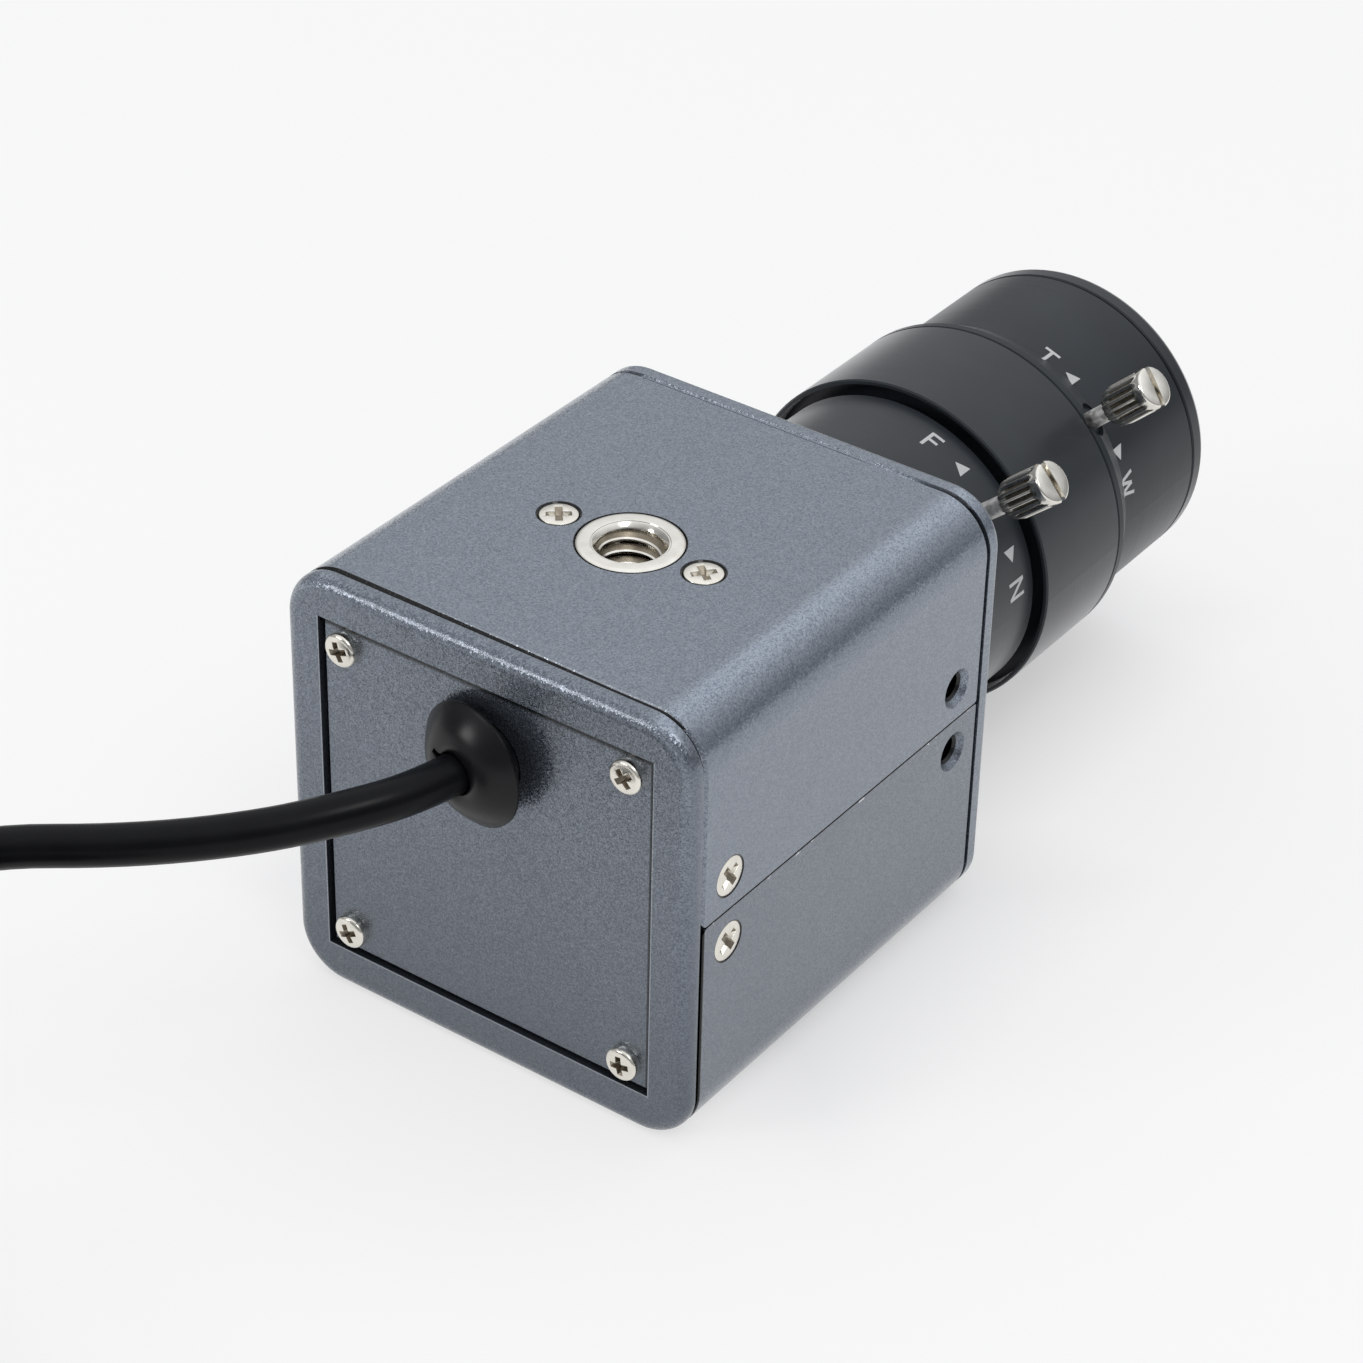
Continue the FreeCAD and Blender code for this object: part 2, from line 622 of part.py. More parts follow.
# Box shells
def side_sinks(name, inset):
    """Countersunk holes through both sides of the shells, at one distance along the box."""
    tools = []
    radius = S.side_screw_head_radius + S.countersink_gap
    depth = S.side_screw_head_height + S.countersink_gap
    throat = S.side_screw_radius + S.screw_clearance
    for i, height in enumerate(side_heights):
        tools.append(taper(f"{name}_left{i}", "+x", radius, throat, (-half_width, inset, height), depth))
        tools.append(taper(f"{name}_right{i}", "-x", radius, throat, (half_width, inset, height), depth))
        start = (-half_width - spare, inset, height)
        tools.append(rod(f"{name}_through{i}", "+x", throat, start, S.case_width + 2 * spare))
    return fuse(name, tools)


def build_shells():
    bevel = ("Chamfer", S.cover_bevel, (1, -1))
    outer = plate(
        "shell_outer", "XZ_Plane", S.case_width, S.case_height, S.case_corner, cover_length,
        (0, cover_end, axis_height), bevel,
    )
    inner = plate(
        "shell_inner", "XZ_Plane", S.case_width - 2 * S.cover_wall, S.case_height - 2 * S.cover_wall,
        S.case_corner - S.cover_wall, cover_length + 2 * spare, (0, cover_end + spare, axis_height),
    )
    tube = cut("shell_tube", outer, [inner])
    upper_tall = S.case_height - S.parting_height - S.parting_gap / 2 + spare
    upper_slab = plate(
        "upper_slab", "YZ_Plane", cover_length, upper_tall, S.parting_round, S.case_width + 2 * spare,
        (-half_width - spare, 0, S.case_height + spare - upper_tall / 2),
    )
    lower_tall = S.parting_height - S.parting_gap / 2 + spare
    lower_slab = plate(
        "lower_slab", "YZ_Plane", cover_length - S.cover_slack, lower_tall, S.parting_round,
        S.case_width + 2 * spare, (-half_width - spare, S.cover_slack / 2, lower_tall / 2 - spare),
    )
    sinks = [side_sinks("rear_sinks", -side_screw_inset), side_sinks("front_sinks", side_screw_inset)]
    nut_hole = rod(
        "nut_hole", "+z", S.nut_collar_radius + S.nut_collar_gap,
        (0, -S.nut_offset, S.case_height - spare), 2 * spare,
    )
    nut_sinks = []
    for i, side in enumerate((-1, 1)):
        x = side * S.nut_screw_offset
        nut_sinks.append(taper(
            f"nut_sink{i}", "+z", S.nut_screw_radius + S.screw_clearance,
            S.nut_screw_head_radius + S.nut_sink_gap,
            (x, -S.nut_offset, S.case_height - S.nut_screw_head_height - S.nut_sink_gap / 2),
            S.nut_screw_head_height + S.nut_sink_gap / 2,
        ))
        nut_sinks.append(rod(
            f"nut_sink_hole{i}", "+z", S.nut_screw_radius + S.screw_clearance,
            (x, -S.nut_offset, S.case_height - spare), 2 * spare,
        ))
    upper_half = overlap("upper_half", tube, upper_slab)
    lower_half = overlap("lower_half", tube, lower_slab)
    node("upper_cover", cut("upper_cover", upper_half, [fuse("upper_holes", sinks + [nut_hole] + nut_sinks)]))
    node("lower_cover", cut("lower_cover", lower_half, [fuse("lower_holes", sinks)]))


# End frames
def tapped_sides(name, inset, radius):
    return [
        rod(f"{name}{i}", "+x", radius, (-half_width, inset, height), S.case_width)
        for i, height in enumerate(side_heights)
    ]


def build_rear_frame():
    rim = plate(
        "rear_rim", "XZ_Plane", S.case_width, S.case_height, S.case_corner, S.rim_thickness,
        (0, -rim_face, axis_height), ("Fillet", S.rear_edge_round, (1,)),
    )
    skirt = plate(
        "rear_skirt", "XZ_Plane", skirt_width, skirt_height, skirt_round, S.skirt_depth,
        (0, -skirt_end, axis_height),
    )
    hollow = plate(
        "rear_hollow", "XZ_Plane", inner_width, inner_height, S.skirt_corner, ledge_back - skirt_end + spare,
        (0, -skirt_end + spare, axis_height),
    )
    opening = plate(
        "rear_opening", "XZ_Plane", window_width - 2 * S.ledge_side, window_height - 2 * S.ledge_top,
        S.ledge_corner, half_depth, (0, -skirt_end + spare, window_middle),
    )
    window = block(
        "rear_window", (-window_width / 2, window_width / 2), (-half_depth - spare, -panel_back),
        (window_middle - window_height / 2, window_middle + window_height / 2),
    )
    taps = tapped_sides("rear_tap", -side_screw_inset, S.side_screw_radius)
    for i, (x, z) in enumerate(panel_screw_places()):
        taps.append(rod(f"panel_tap{i}", "+y", S.panel_screw_radius, (x, -panel_back - spare, z), 2 * spare))
    body = fuse("rear_frame_body", [rim, skirt])
    node("rear_frame", cut("rear_frame", body, [fuse("rear_frame_holes", [hollow, opening, window] + taps)]))


def build_front_frame():
    rim = plate(
        "front_rim", "XZ_Plane", S.case_width, S.case_height, S.case_corner, S.rim_thickness,
        (0, half_depth, axis_height), ("Fillet", S.front_edge_round, (-1,)),
    )
    skirt = plate(
        "front_skirt", "XZ_Plane", skirt_width, skirt_height, skirt_round, S.skirt_depth,
        (0, rim_face, axis_height),
    )
    hollow = plate(
        "front_hollow", "XZ_Plane", inner_width, inner_height, S.skirt_corner,
        front_wall_back - skirt_end + spare, (0, front_wall_back, axis_height),
    )
    bore = rod(
        "front_bore", "+y", S.mount_radius + S.mount_gap, (0, front_wall_back - spare, axis_height),
        S.front_plate + 2 * spare,
    )
    taps = tapped_sides("front_tap", side_screw_inset, S.side_screw_radius)
    for i, (x, z) in enumerate(pillar_places()):
        start = (x, front_wall_back - spare, z)
        taps.append(rod(f"board_tap{i}", "+y", S.board_screw_radius, start, spare + S.board_screw_bite))
    body = fuse("front_frame_body", [rim, skirt])
    node("front_frame", cut("front_frame", body, [fuse("front_frame_holes", [hollow, bore] + taps)]))


# Screws of the box
def panel_screw_places():
    side = window_width / 2 - S.panel_screw_inset_side
    rise = window_height / 2 - S.panel_screw_inset_top
    return [(x * side, window_middle + z * rise) for x in (-1, 1) for z in (-1, 1)]


def pillar_places():
    side = flange_width / 2 - S.pillar_inset
    rise = flange_height / 2 - S.pillar_inset
    return [(x * side, axis_height + z * rise) for x in (-1, 1) for z in (-1, 1)]


def build_screws():
    panel_screws = []
    for i, (x, z) in enumerate(panel_screw_places()):
        head = rod(
            f"panel_screw_head{i}", "-y", S.panel_screw_head_radius, (x, -panel_face, z),
            S.panel_screw_head_height,
        )
        shank = rod(
            f"panel_screw_shank{i}", "+y", S.panel_screw_radius, (x, -panel_face, z), S.panel_screw_length,
        )
        panel_screws.append(fuse(f"panel_screw{i}", [head, shank]))
    node("rear_panel_screws", group("rear_panel_screws", panel_screws))

    cover_screws = []
    for side, way in ((-1, "+x"), (1, "-x")):
        for i, height in enumerate(side_heights):
            label = f"cover_screw_{'left' if side < 0 else 'right'}{i}"
            start = (side * half_width, -side_screw_inset, height)
            head = taper(
                f"{label}_head", way, S.side_screw_head_radius, S.side_screw_radius, start,
                S.side_screw_head_height,
            )
            shank = rod(f"{label}_shank", way, S.side_screw_radius, start, S.side_screw_length)
            cover_screws.append(fuse(label, [head, shank]))
    node("cover_screws", group("cover_screws", cover_screws))

    nut_screws = []
    for i, side in enumerate((-1, 1)):
        x = side * S.nut_screw_offset
        head = taper(
            f"nut_screw_head{i}", "+z", S.nut_screw_radius, S.nut_screw_head_radius,
            (x, -S.nut_offset, S.case_height - S.nut_screw_head_height), S.nut_screw_head_height,
        )
        shank = rod(
            f"nut_screw_shank{i}", "+z", S.nut_screw_radius,
            (x, -S.nut_offset, S.case_height - S.nut_screw_length), S.nut_screw_length,
        )
        nut_screws.append(fuse(f"nut_screw{i}", [head, shank]))
    node("tripod_nut_screws", group("tripod_nut_screws", nut_screws))


# Rear panel, tripod nut and cable passage
def build_rear_panel():
    wide = window_width - 2 * S.panel_gap
    tall = window_height - 2 * S.panel_gap
    low_x = S.panel_shift - wide / 2
    low_z = window_middle + S.panel_shift - tall / 2
    sheet = block("panel_sheet", (low_x, low_x + wide), (-panel_face, -panel_back), (low_z, low_z + tall))
    holes = [rod(
        "grommet_hole", "+y", S.grommet_neck_radius + S.grommet_neck_gap,
        (-S.grommet_side, -half_depth - spare, grommet_height), 2 * spare + S.panel_recess,
    )]
    for i, (x, z) in enumerate(panel_screw_places()):
        radius = S.panel_screw_radius + S.screw_clearance
        holes.append(rod(f"panel_hole{i}", "+y", radius, (x, -half_depth - spare, z), 2 * spare))
    node("rear_panel", cut("rear_panel", sheet, holes))


def build_tripod_nut():
    top = S.case_height + S.nut_proud
    under = S.case_height - S.cover_wall
    bottom = top - S.tripod_bore_length
    place = (0, -S.nut_offset, 0)
    bush = turned("nut_bush", [
        (bottom, S.tripod_bore_radius),
        (bottom, S.nut_boss_radius),
        (under - S.nut_plate_thickness / 2, S.nut_boss_radius),
        (under - S.nut_plate_thickness / 2, S.nut_collar_radius),
        (top - S.nut_proud, S.nut_collar_radius),
        (top, S.nut_collar_radius - S.nut_proud),
        (top, S.tripod_bore_radius + S.tripod_bore_bevel),
        (top - S.tripod_bore_bevel, S.tripod_bore_radius),
    ], "z", place)
    flat = plate(
        "nut_flat", "XY_Plane", S.nut_plate_length, S.nut_plate_width, S.nut_plate_corner,
        S.nut_plate_thickness, (0, -S.nut_offset, under - S.nut_plate_thickness),
    )
    bore = rod("nut_flat_bore", "+z", S.tripod_bore_radius + 0.5, (0, -S.nut_offset, bottom), S.case_height)
    drilled = cut("nut_flat_drilled", flat, [bore])
    taps = []
    for i, side in enumerate((-1, 1)):
        start = (side * S.nut_screw_offset, -S.nut_offset, under - S.nut_plate_thickness - spare)
        taps.append(rod(f"nut_tap{i}", "+z", S.nut_screw_radius, start, S.nut_plate_thickness + 2 * spare))
    node("tripod_nut", cut("tripod_nut", fuse("nut_body", [bush, drilled]), taps))


def build_grommet():
    pivot = (-S.grommet_side, -panel_face - S.grommet_lift, grommet_height)
    dome_width = S.grommet_head_radius - S.grommet_crown_radius
    dome_height = S.grommet_head_height - S.grommet_rim
    dome = []
    for step in range(7):
        turn = math.radians(15 * step)
        dome.append((
            S.grommet_rim + dome_height * round(math.sin(turn), 4),
            S.grommet_crown_radius + dome_width * round(math.cos(turn), 4),
        ))
    head = turned("grommet_head", [
        (0, 0),
        (0, S.grommet_head_radius - S.grommet_rim / 3),
        (S.grommet_rim / 3, S.grommet_head_radius),
        *dome,
        (S.grommet_head_height, 0),
    ], "y", pivot)
    bore_radius = S.cable_radius + S.cable_gap
    bore = turned("grommet_head_bore", [
        (0, 0),
        (0, bore_radius),
        (2 * S.grommet_head_height, bore_radius),
        (2 * S.grommet_head_height, 0),
    ], "y", pivot)
    for thing in (head, bore):
        thing.Placement.Rotation = Rotation(Vector(0, 0, 1), 170)
        thing.setExpression("Placement.Rotation.Angle", (180 - S.grommet_lean).text)
    neck = rod(
        "grommet_neck", "+y", S.grommet_neck_radius, pivot,
        S.grommet_lift + S.panel_thickness + S.grommet_flange,
    )
    flange = rod(
        "grommet_flange", "+y", S.grommet_flange_radius, (-S.grommet_side, -panel_back, grommet_height),
        S.grommet_flange,
    )
    through = rod("grommet_bore", "+y", bore_radius, pivot, S.case_depth / 2)
    return node("cable_grommet", cut("cable_grommet", fuse("grommet_body", [head, neck, flange]), [
        fuse("grommet_bores", [bore, through]),
    ]))


def build_inner_cable():
    x = -S.grommet_side
    z = grommet_height
    stripped = -panel_back + S.cable_inner_length
    start = -panel_face - S.grommet_lift + S.cable_gap * 8
    node("cable_inner", rod("cable_inner", "+y", S.cable_radius, (x, start, z), stripped - start))
    tie_start = -panel_back + S.grommet_flange + S.cable_gap
    ring = rod("strain_ring", "+y", S.tie_ring_radius, (x, tie_start, z), S.tie_ring_width)
    head = block(
        "strain_head", (x - S.tie_head / 2, x + S.tie_head / 2), (tie_start, tie_start + S.tie_ring_width),
        (z - S.tie_ring_radius - S.tie_head / 2, z - S.cable_radius),
    )
    hole = rod("strain_hole", "+y", S.cable_radius + S.socket_gap, (x, tie_start, z), S.tie_ring_width)
    node("strain_tie", cut("strain_tie", fuse("strain_body", [ring, head]), [hole]))
    socket_back = board_back - S.socket_depth
    node("cable_socket", block(
        "cable_socket", (x - S.socket_width / 2, x + S.socket_width / 2), (socket_back, board_back),
        (z - S.socket_tall / 2, z + S.socket_tall / 2),
    ))
    plug_back = socket_back - S.socket_plug_depth
    node("socket_plug", block(
        "socket_plug", (x - S.socket_plug_width / 2, x + S.socket_plug_width / 2), (plug_back, socket_back),
        (z - S.socket_plug_tall / 2, z + S.socket_plug_tall / 2),
    ))
    wires = [
        rod(
            f"wire{i}", "+y", S.wire_radius, (x + (i - 1.5) * S.wire_pitch, stripped, z),
            plug_back - stripped,
        )
        for i in range(4)
    ]
    node("inner_wires", group("inner_wires", wires))


# Lens mount and board
def build_mount():
    flange_back = front_wall_back - S.mount_flange_thickness
    hood_end = flange_back - S.hood_length
    seat = hood_end + S.filter_seat_depth
    thread_end = mount_face - S.mount_thread_length
    collar = turned("mount_collar", [
        (hood_end, S.filter_seat_bore),
        (hood_end, S.hood_radius),
        (flange_back + S.mount_bevel, S.hood_radius),
        (flange_back + S.mount_bevel, S.mount_radius),
        (mount_face - S.mount_bevel, S.mount_radius),
        (mount_face, S.mount_radius - S.mount_bevel),
        (mount_face, S.mount_thread_radius + S.mount_bevel),
        (mount_face - S.mount_bevel, S.mount_thread_radius),
        (thread_end, S.mount_thread_radius),
        (thread_end, S.hood_bore),
        (seat, S.hood_bore),
        (seat, S.filter_seat_bore),
    ], "y", lens_axis)
    flange = plate(
        "mount_flange", "XZ_Plane", flange_width, flange_height, S.mount_flange_corner,
        S.mount_flange_thickness, (0, front_wall_back, axis_height),
    )
    light_path = rod(
        "flange_bore", "+y", S.hood_radius - S.mount_bevel, (0, flange_back - spare, axis_height),
        S.mount_flange_thickness + 2 * spare,
    )
    pillars = []
    holes = []
    for i, (x, z) in enumerate(pillar_places()):
        start = (x, board_front, z)
        pillars.append(rod(f"pillar{i}", "+y", S.pillar_radius, start, flange_back - board_front))
        radius = S.board_screw_radius + S.screw_clearance
        holes.append(rod(f"pillar_hole{i}", "+y", radius, start, front_wall_back - board_front))
    ring = cut("mount_ring", flange, [light_path])
    node("lens_mount", cut("lens_mount", fuse("mount_body", [collar, ring] + pillars), holes))
    node("ir_filter", rod(
        "ir_filter", "+y", S.hood_bore - S.filter_gap, (0, seat, axis_height), S.filter_thickness,
    ))


def chip(name, width, tall, low, high, side, height):
    """A flat part on the board between two places along Y."""
    return node(name, block(
        name, (side - width / 2, side + width / 2), (low, high), (height - tall / 2, height + tall / 2),
    ))


def build_board():
    sheet = plate(
        "board_sheet", "XZ_Plane", flange_width, flange_height, S.board_corner, S.board_thickness,
        (0, board_front, axis_height),
    )
    holes = []
    screws = []
    for i, (x, z) in enumerate(pillar_places()):
        radius = S.board_screw_radius + S.screw_clearance
        holes.append(rod(f"board_hole{i}", "+y", radius, (x, board_back, z), S.board_thickness))
        head = rod(
            f"board_screw_head{i}", "-y", S.board_screw_head_radius, (x, board_back, z),
            S.board_screw_head_height,
        )
        length = front_wall_back + S.board_screw_bite - board_back - S.screw_clearance
        shank = rod(f"board_screw_shank{i}", "+y", S.board_screw_radius, (x, board_back, z), length)
        screws.append(fuse(f"board_screw{i}", [head, shank]))
    node("sensor_board", cut("sensor_board", sheet, holes))
    node("board_screws", group("board_screws", screws))

    sensor_face = board_front + S.sensor_height
    glass_face = sensor_face + S.sensor_glass_thickness
    chip("image_sensor", S.sensor_size, S.sensor_size, board_front, sensor_face, Formula.of(0), axis_height)
    chip(
        "sensor_glass", S.sensor_glass_size, S.sensor_glass_size, sensor_face, glass_face, Formula.of(0),
        axis_height,
    )
    chip(
        "processor_chip", S.processor_size, S.processor_size, board_back - S.processor_height, board_back,
        S.processor_side, axis_height - S.processor_drop,
    )
    chip(
        "memory_chip", S.memory_width, S.memory_tall, board_back - S.memory_height, board_back,
        -S.memory_side, axis_height - S.memory_drop,
    )
    chip(
        "crystal", S.crystal_width, S.crystal_tall, board_back - S.crystal_height, board_back,
        -S.memory_side, axis_height - S.crystal_drop,
    )


# Lens: places along its axis
seat_front = mount_face + S.lens_seat_thickness
focus_start = seat_front + S.ring_end_gap
focus_end = focus_start + S.focus_ring_length
barrel_start = focus_end + S.ring_end_gap
barrel_end = barrel_start + S.barrel_length
base_end = barrel_start + S.barrel_socket_depth - S.ring_end_gap / 2
zoom_start = barrel_end + S.ring_end_gap / 2
zoom_end = zoom_start + S.zoom_ring_length
front_start = zoom_end + S.ring_end_gap
front_end = front_start + S.front_ring_length
tube_end = front_end - S.front_ring_lip - S.ring_end_gap / 4
stop_place = barrel_start + S.stop_setback
rear_cell_start = mount_face + S.rear_cell_setback
rear_pin_place = rear_cell_start + S.rear_pin_inset
front_cell_start = barrel_end + S.front_cell_setback
front_pin_place = front_cell_start + S.front_pin_inset
focus_lock_place = focus_start + S.focus_lock_setback
zoom_lock_place = zoom_start + S.zoom_lock_setback
tube_bore = S.tube_radius - S.tube_wall
ring_bore = S.tube_radius + S.ring_clearance
groove_radius = S.tube_radius + S.groove_depth
pin_end = S.tube_radius + S.pin_reach
lens_seat_radius = S.tube_radius + S.lens_seat_width
focus_ring_radius = S.tube_radius + S.focus_ring_wall
zoom_ring_radius = S.tube_radius + S.zoom_ring_wall
barrel_radius = S.tube_radius + S.barrel_wall
cell_radius = tube_bore - S.cell_gap
rear_cell_bore = cell_radius - S.rear_cell_wall
front_cell_bore = cell_radius - S.front_cell_wall


def guide_slot(name, place, travel):
    """A slot along the tube, on its -X side, for a pin and its travel."""
    half_length = travel + S.pin_radius + S.slot_gap
    half_width_ = S.pin_radius + S.slot_gap
    return block(
        name, (-S.tube_radius - spare, -tube_bore + spare), (place - half_length, place + half_length),
        (axis_height - half_width_, axis_height + half_width_),
    )


def build_fixed_tubes():
    thread = S.mount_thread_radius - S.lens_thread_gap
    base_start = mount_face - S.lens_thread_length
    base = turned("base_tube", [
        (base_start, S.lens_rear_bore),
        (base_start, thread - S.mount_bevel),
        (base_start + S.mount_bevel, thread),
        (mount_face, thread),
        (mount_face, lens_seat_radius - S.lens_seat_bevel),
        (mount_face + S.lens_seat_bevel, lens_seat_radius),
        (seat_front - S.lens_seat_bevel, lens_seat_radius),
        (seat_front, lens_seat_radius - S.lens_seat_bevel),
        (seat_front, S.tube_radius),
        (base_end, S.tube_radius),
        (base_end, tube_bore),
        (mount_face + S.lens_seat_bevel * 2, tube_bore),
        (mount_face + S.lens_seat_bevel * 2, S.lens_rear_bore),
    ], "y", lens_axis)
    node("lens_base", cut("lens_base", base, [guide_slot("rear_slot", rear_pin_place, S.rear_travel)]))

    socket = S.tube_radius + S.socket_gap
    socket_end = barrel_start + S.barrel_socket_depth
    hood_floor = barrel_start + S.barrel_hood_depth
    hood_bore = barrel_radius - S.barrel_hood_wall
    barrel = turned("barrel_tube", [
        (hood_floor, socket),
        (hood_floor, hood_bore),
        (barrel_start, hood_bore),
        (barrel_start, barrel_radius - S.ring_bevel / 2),
        (barrel_start + S.ring_bevel / 2, barrel_radius),
        (barrel_end - S.ring_bevel / 3, barrel_radius),
        (barrel_end, barrel_radius - S.ring_bevel / 3),
        (barrel_end, S.tube_radius),
        (tube_end, S.tube_radius),
        (tube_end, tube_bore),
        (socket_end, tube_bore),
        (socket_end, socket),
    ], "y", lens_axis)
    node("main_barrel", cut("main_barrel", barrel, [
        guide_slot("front_slot", front_pin_place, S.front_travel),
    ]))

    lip = front_end - S.front_ring_lip
    node("front_ring", turned("front_ring", [
        (front_start, socket),
        (front_start, zoom_ring_radius - S.ring_bevel / 2),
        (front_start + S.ring_bevel / 2, zoom_ring_radius),
        (front_end - S.front_ring_round, zoom_ring_radius),
        (front_end - S.front_ring_round * 0.3, zoom_ring_radius - S.front_ring_round * 0.3),
        (front_end, zoom_ring_radius - S.front_ring_round),
        (front_end, S.tube_radius),
        (lip, tube_bore - S.front_lip_reach),
        (lip, socket),
    ], "y", lens_axis))
    node("aperture_stop", turned("aperture_stop", [
        (stop_place, S.stop_bore),
        (stop_place, tube_bore),
        (stop_place + S.stop_thickness, tube_bore),
        (stop_place + S.stop_thickness, S.stop_bore),
    ], "y", lens_axis))


def groove_points(place, travel):
    """The pin's groove inside a ring, from its front wall to its rear wall."""
    half = travel + S.pin_radius + 3 * S.slot_gap
    return [
        (place + half, ring_bore),
        (place + half, groove_radius),
        (place - half, groove_radius),
        (place - half, ring_bore),
    ]


def build_rings():
    hole_radius = S.lock_shaft_radius + S.lock_hole_gap
    focus = turned("focus_sleeve", [
        (focus_start, ring_bore),
        (focus_start, focus_ring_radius - S.ring_bevel),
        (focus_start + S.ring_bevel, focus_ring_radius),
        (focus_end - S.ring_bevel, focus_ring_radius),
        (focus_end, focus_ring_radius - S.ring_bevel),
        (focus_end, ring_bore),
    ] + groove_points(rear_pin_place, S.rear_travel), "y", lens_axis)
    drill = barrel_radius + spare
    focus_hole = radial("focus_lock_hole", S.focus_lock_angle, hole_radius, drill, focus_lock_place)
    node("focus_ring", cut("focus_ring", focus, [focus_hole]))

    flare_start = zoom_start + S.zoom_flange
    zoom = turned("zoom_sleeve", [
        (zoom_start, ring_bore),
        (zoom_start, barrel_radius - S.ring_bevel / 3),
        (zoom_start + S.ring_bevel / 3, barrel_radius),
        (flare_start, barrel_radius),
        (flare_start + S.zoom_flare, zoom_ring_radius),
        (zoom_end - S.ring_bevel / 2, zoom_ring_radius),
        (zoom_end, zoom_ring_radius - S.ring_bevel / 2),
        (zoom_end, ring_bore),
    ] + groove_points(front_pin_place, S.front_travel), "y", lens_axis)
    zoom_hole = radial("zoom_lock_hole", S.zoom_lock_angle, hole_radius, drill, zoom_lock_place)
    sink = radial("zoom_lock_sink", S.zoom_lock_angle, S.lock_sink_radius, drill, zoom_lock_place)
    core = rod(
        "zoom_sink_core", "+y", barrel_radius - S.lock_sink_depth, (0, zoom_start - spare, axis_height),
        S.zoom_ring_length,
    )
    seat = cut("zoom_lock_seat", sink, [core])
    node("zoom_ring", cut("zoom_ring", zoom, [fuse("zoom_ring_holes", [zoom_hole, seat])]))


def lock_screw(name, angle, place, reach):
    """A thumb screw that points at the lens axis."""
    head_start = reach - S.lock_head_length
    screw = turned(name, [
        (S.tube_radius + S.lock_tip_gap, 0),
        (S.tube_radius + S.lock_tip_gap, S.lock_shaft_radius),
        (head_start, S.lock_shaft_radius),
        (head_start, S.lock_head_radius - 2 * S.lock_head_bevel),
        (head_start + 2 * S.lock_head_bevel, S.lock_head_radius),
        (reach - S.lock_head_bevel, S.lock_head_radius),
        (reach, S.lock_head_radius - S.lock_head_bevel),
        (reach, 0),
    ], "x")
    screw.Placement.Rotation = Rotation(Vector(0, -1, 0), 40)
    screw.setExpression("Placement.Rotation.Angle", angle.text)
    return node(name, at(screw, 0, place, axis_height))


def glass(name, radius, start, height, curve):
    """A glass with a flat rear face and a domed front face."""
    blank = rod(f"{name}_blank", "+y", radius, (0, start, axis_height), height)
    ball = doc.addObject("Part::Sphere", f"{name}_ball")
    bind(ball, Radius=curve)
    at(ball, 0, start + height - curve, axis_height)
    return node(name, overlap(name, blank, ball))


def cell(name, start, length, bore, throat, seat, pin_place):
    """A sliding tube that holds a glass, with a hole for its pin on the -X side."""
    sleeve = turned(f"{name}_sleeve", [
        (start, throat),
        (start, cell_radius),
        (start + length, cell_radius),
        (start + length, bore),
        (start + seat, bore),
        (start + seat, throat),
    ], "y", lens_axis)
    hole = rod(f"{name}_pin_hole", "-x", S.pin_radius, (-bore, pin_place, axis_height), 2 * spare)
    return node(name, cut(name, sleeve, [hole]))


def build_groups():
    cell(
        "rear_cell", rear_cell_start, S.rear_cell_length, rear_cell_bore, rear_cell_bore - S.rear_cell_lip,
        S.rear_cell_seat, rear_pin_place,
    )
    glass(
        "rear_element", rear_cell_bore - S.glass_gap, rear_cell_start + S.rear_cell_seat,
        S.rear_glass_height, S.rear_glass_curve,
    )
    cell(
        "front_cell", front_cell_start, S.front_cell_length, front_cell_bore,
        front_cell_bore - S.front_cell_lip, S.front_cell_seat, front_pin_place,
    )
    glass(
        "front_element", front_cell_bore - S.glass_gap, front_cell_start + S.front_cell_seat,
        S.front_glass_height, S.front_glass_curve,
    )
    retainer_bore = front_cell_bore - S.retainer_width
    curve = S.front_glass_curve
    glass_front = front_cell_start + S.front_cell_seat + S.front_glass_height
    ring_start = glass_front - curve + root(curve * curve - retainer_bore * retainer_bore) + S.retainer_gap
    node("front_retainer", turned("front_retainer", [
        (ring_start, retainer_bore),
        (ring_start, front_cell_bore),
        (ring_start + S.retainer_length, front_cell_bore),
        (ring_start + S.retainer_length, retainer_bore),
    ], "y", lens_axis))
    for name, bore, place in (
        ("rear_pin", rear_cell_bore, rear_pin_place),
        ("front_pin", front_cell_bore, front_pin_place),
    ):
        node(name, rod(name, "-x", S.pin_radius, (-bore, place, axis_height), pin_end - bore))


# Cable, coil and plug
def build_coil():
    full = S.coil_lift + 2 * S.coil_layer
    top = full + S.coil_layer
    node("cable_coil", turned("cable_coil", [
        (S.coil_lift, S.coil_inner),
        (S.coil_lift, S.coil_outer),
        (top, S.coil_outer),
        (top, S.coil_step),
        (full, S.coil_step),
        (full, S.coil_inner),
    ], "z", (S.coil_x, S.coil_y, 0)))
    inside = (S.coil_inner - S.tie_inset, S.coil_outer + S.tie_slack)
    strap = block(
        "tie_strap", (S.coil_x - S.tie_width / 2, S.coil_x + S.tie_width / 2),
        (S.coil_y + inside[0] - S.tie_thickness, S.coil_y + inside[1] + S.tie_thickness),
        (S.coil_lift - S.tie_slack - S.tie_thickness, top + S.tie_slack + S.tie_thickness),
    )
    room = block(
        "tie_room", (S.coil_x - S.tie_width, S.coil_x + S.tie_width),
        (S.coil_y + inside[0], S.coil_y + inside[1]), (S.coil_lift - S.tie_slack, top + S.tie_slack),
    )
    node("cable_tie", cut("cable_tie", strap, [room]))


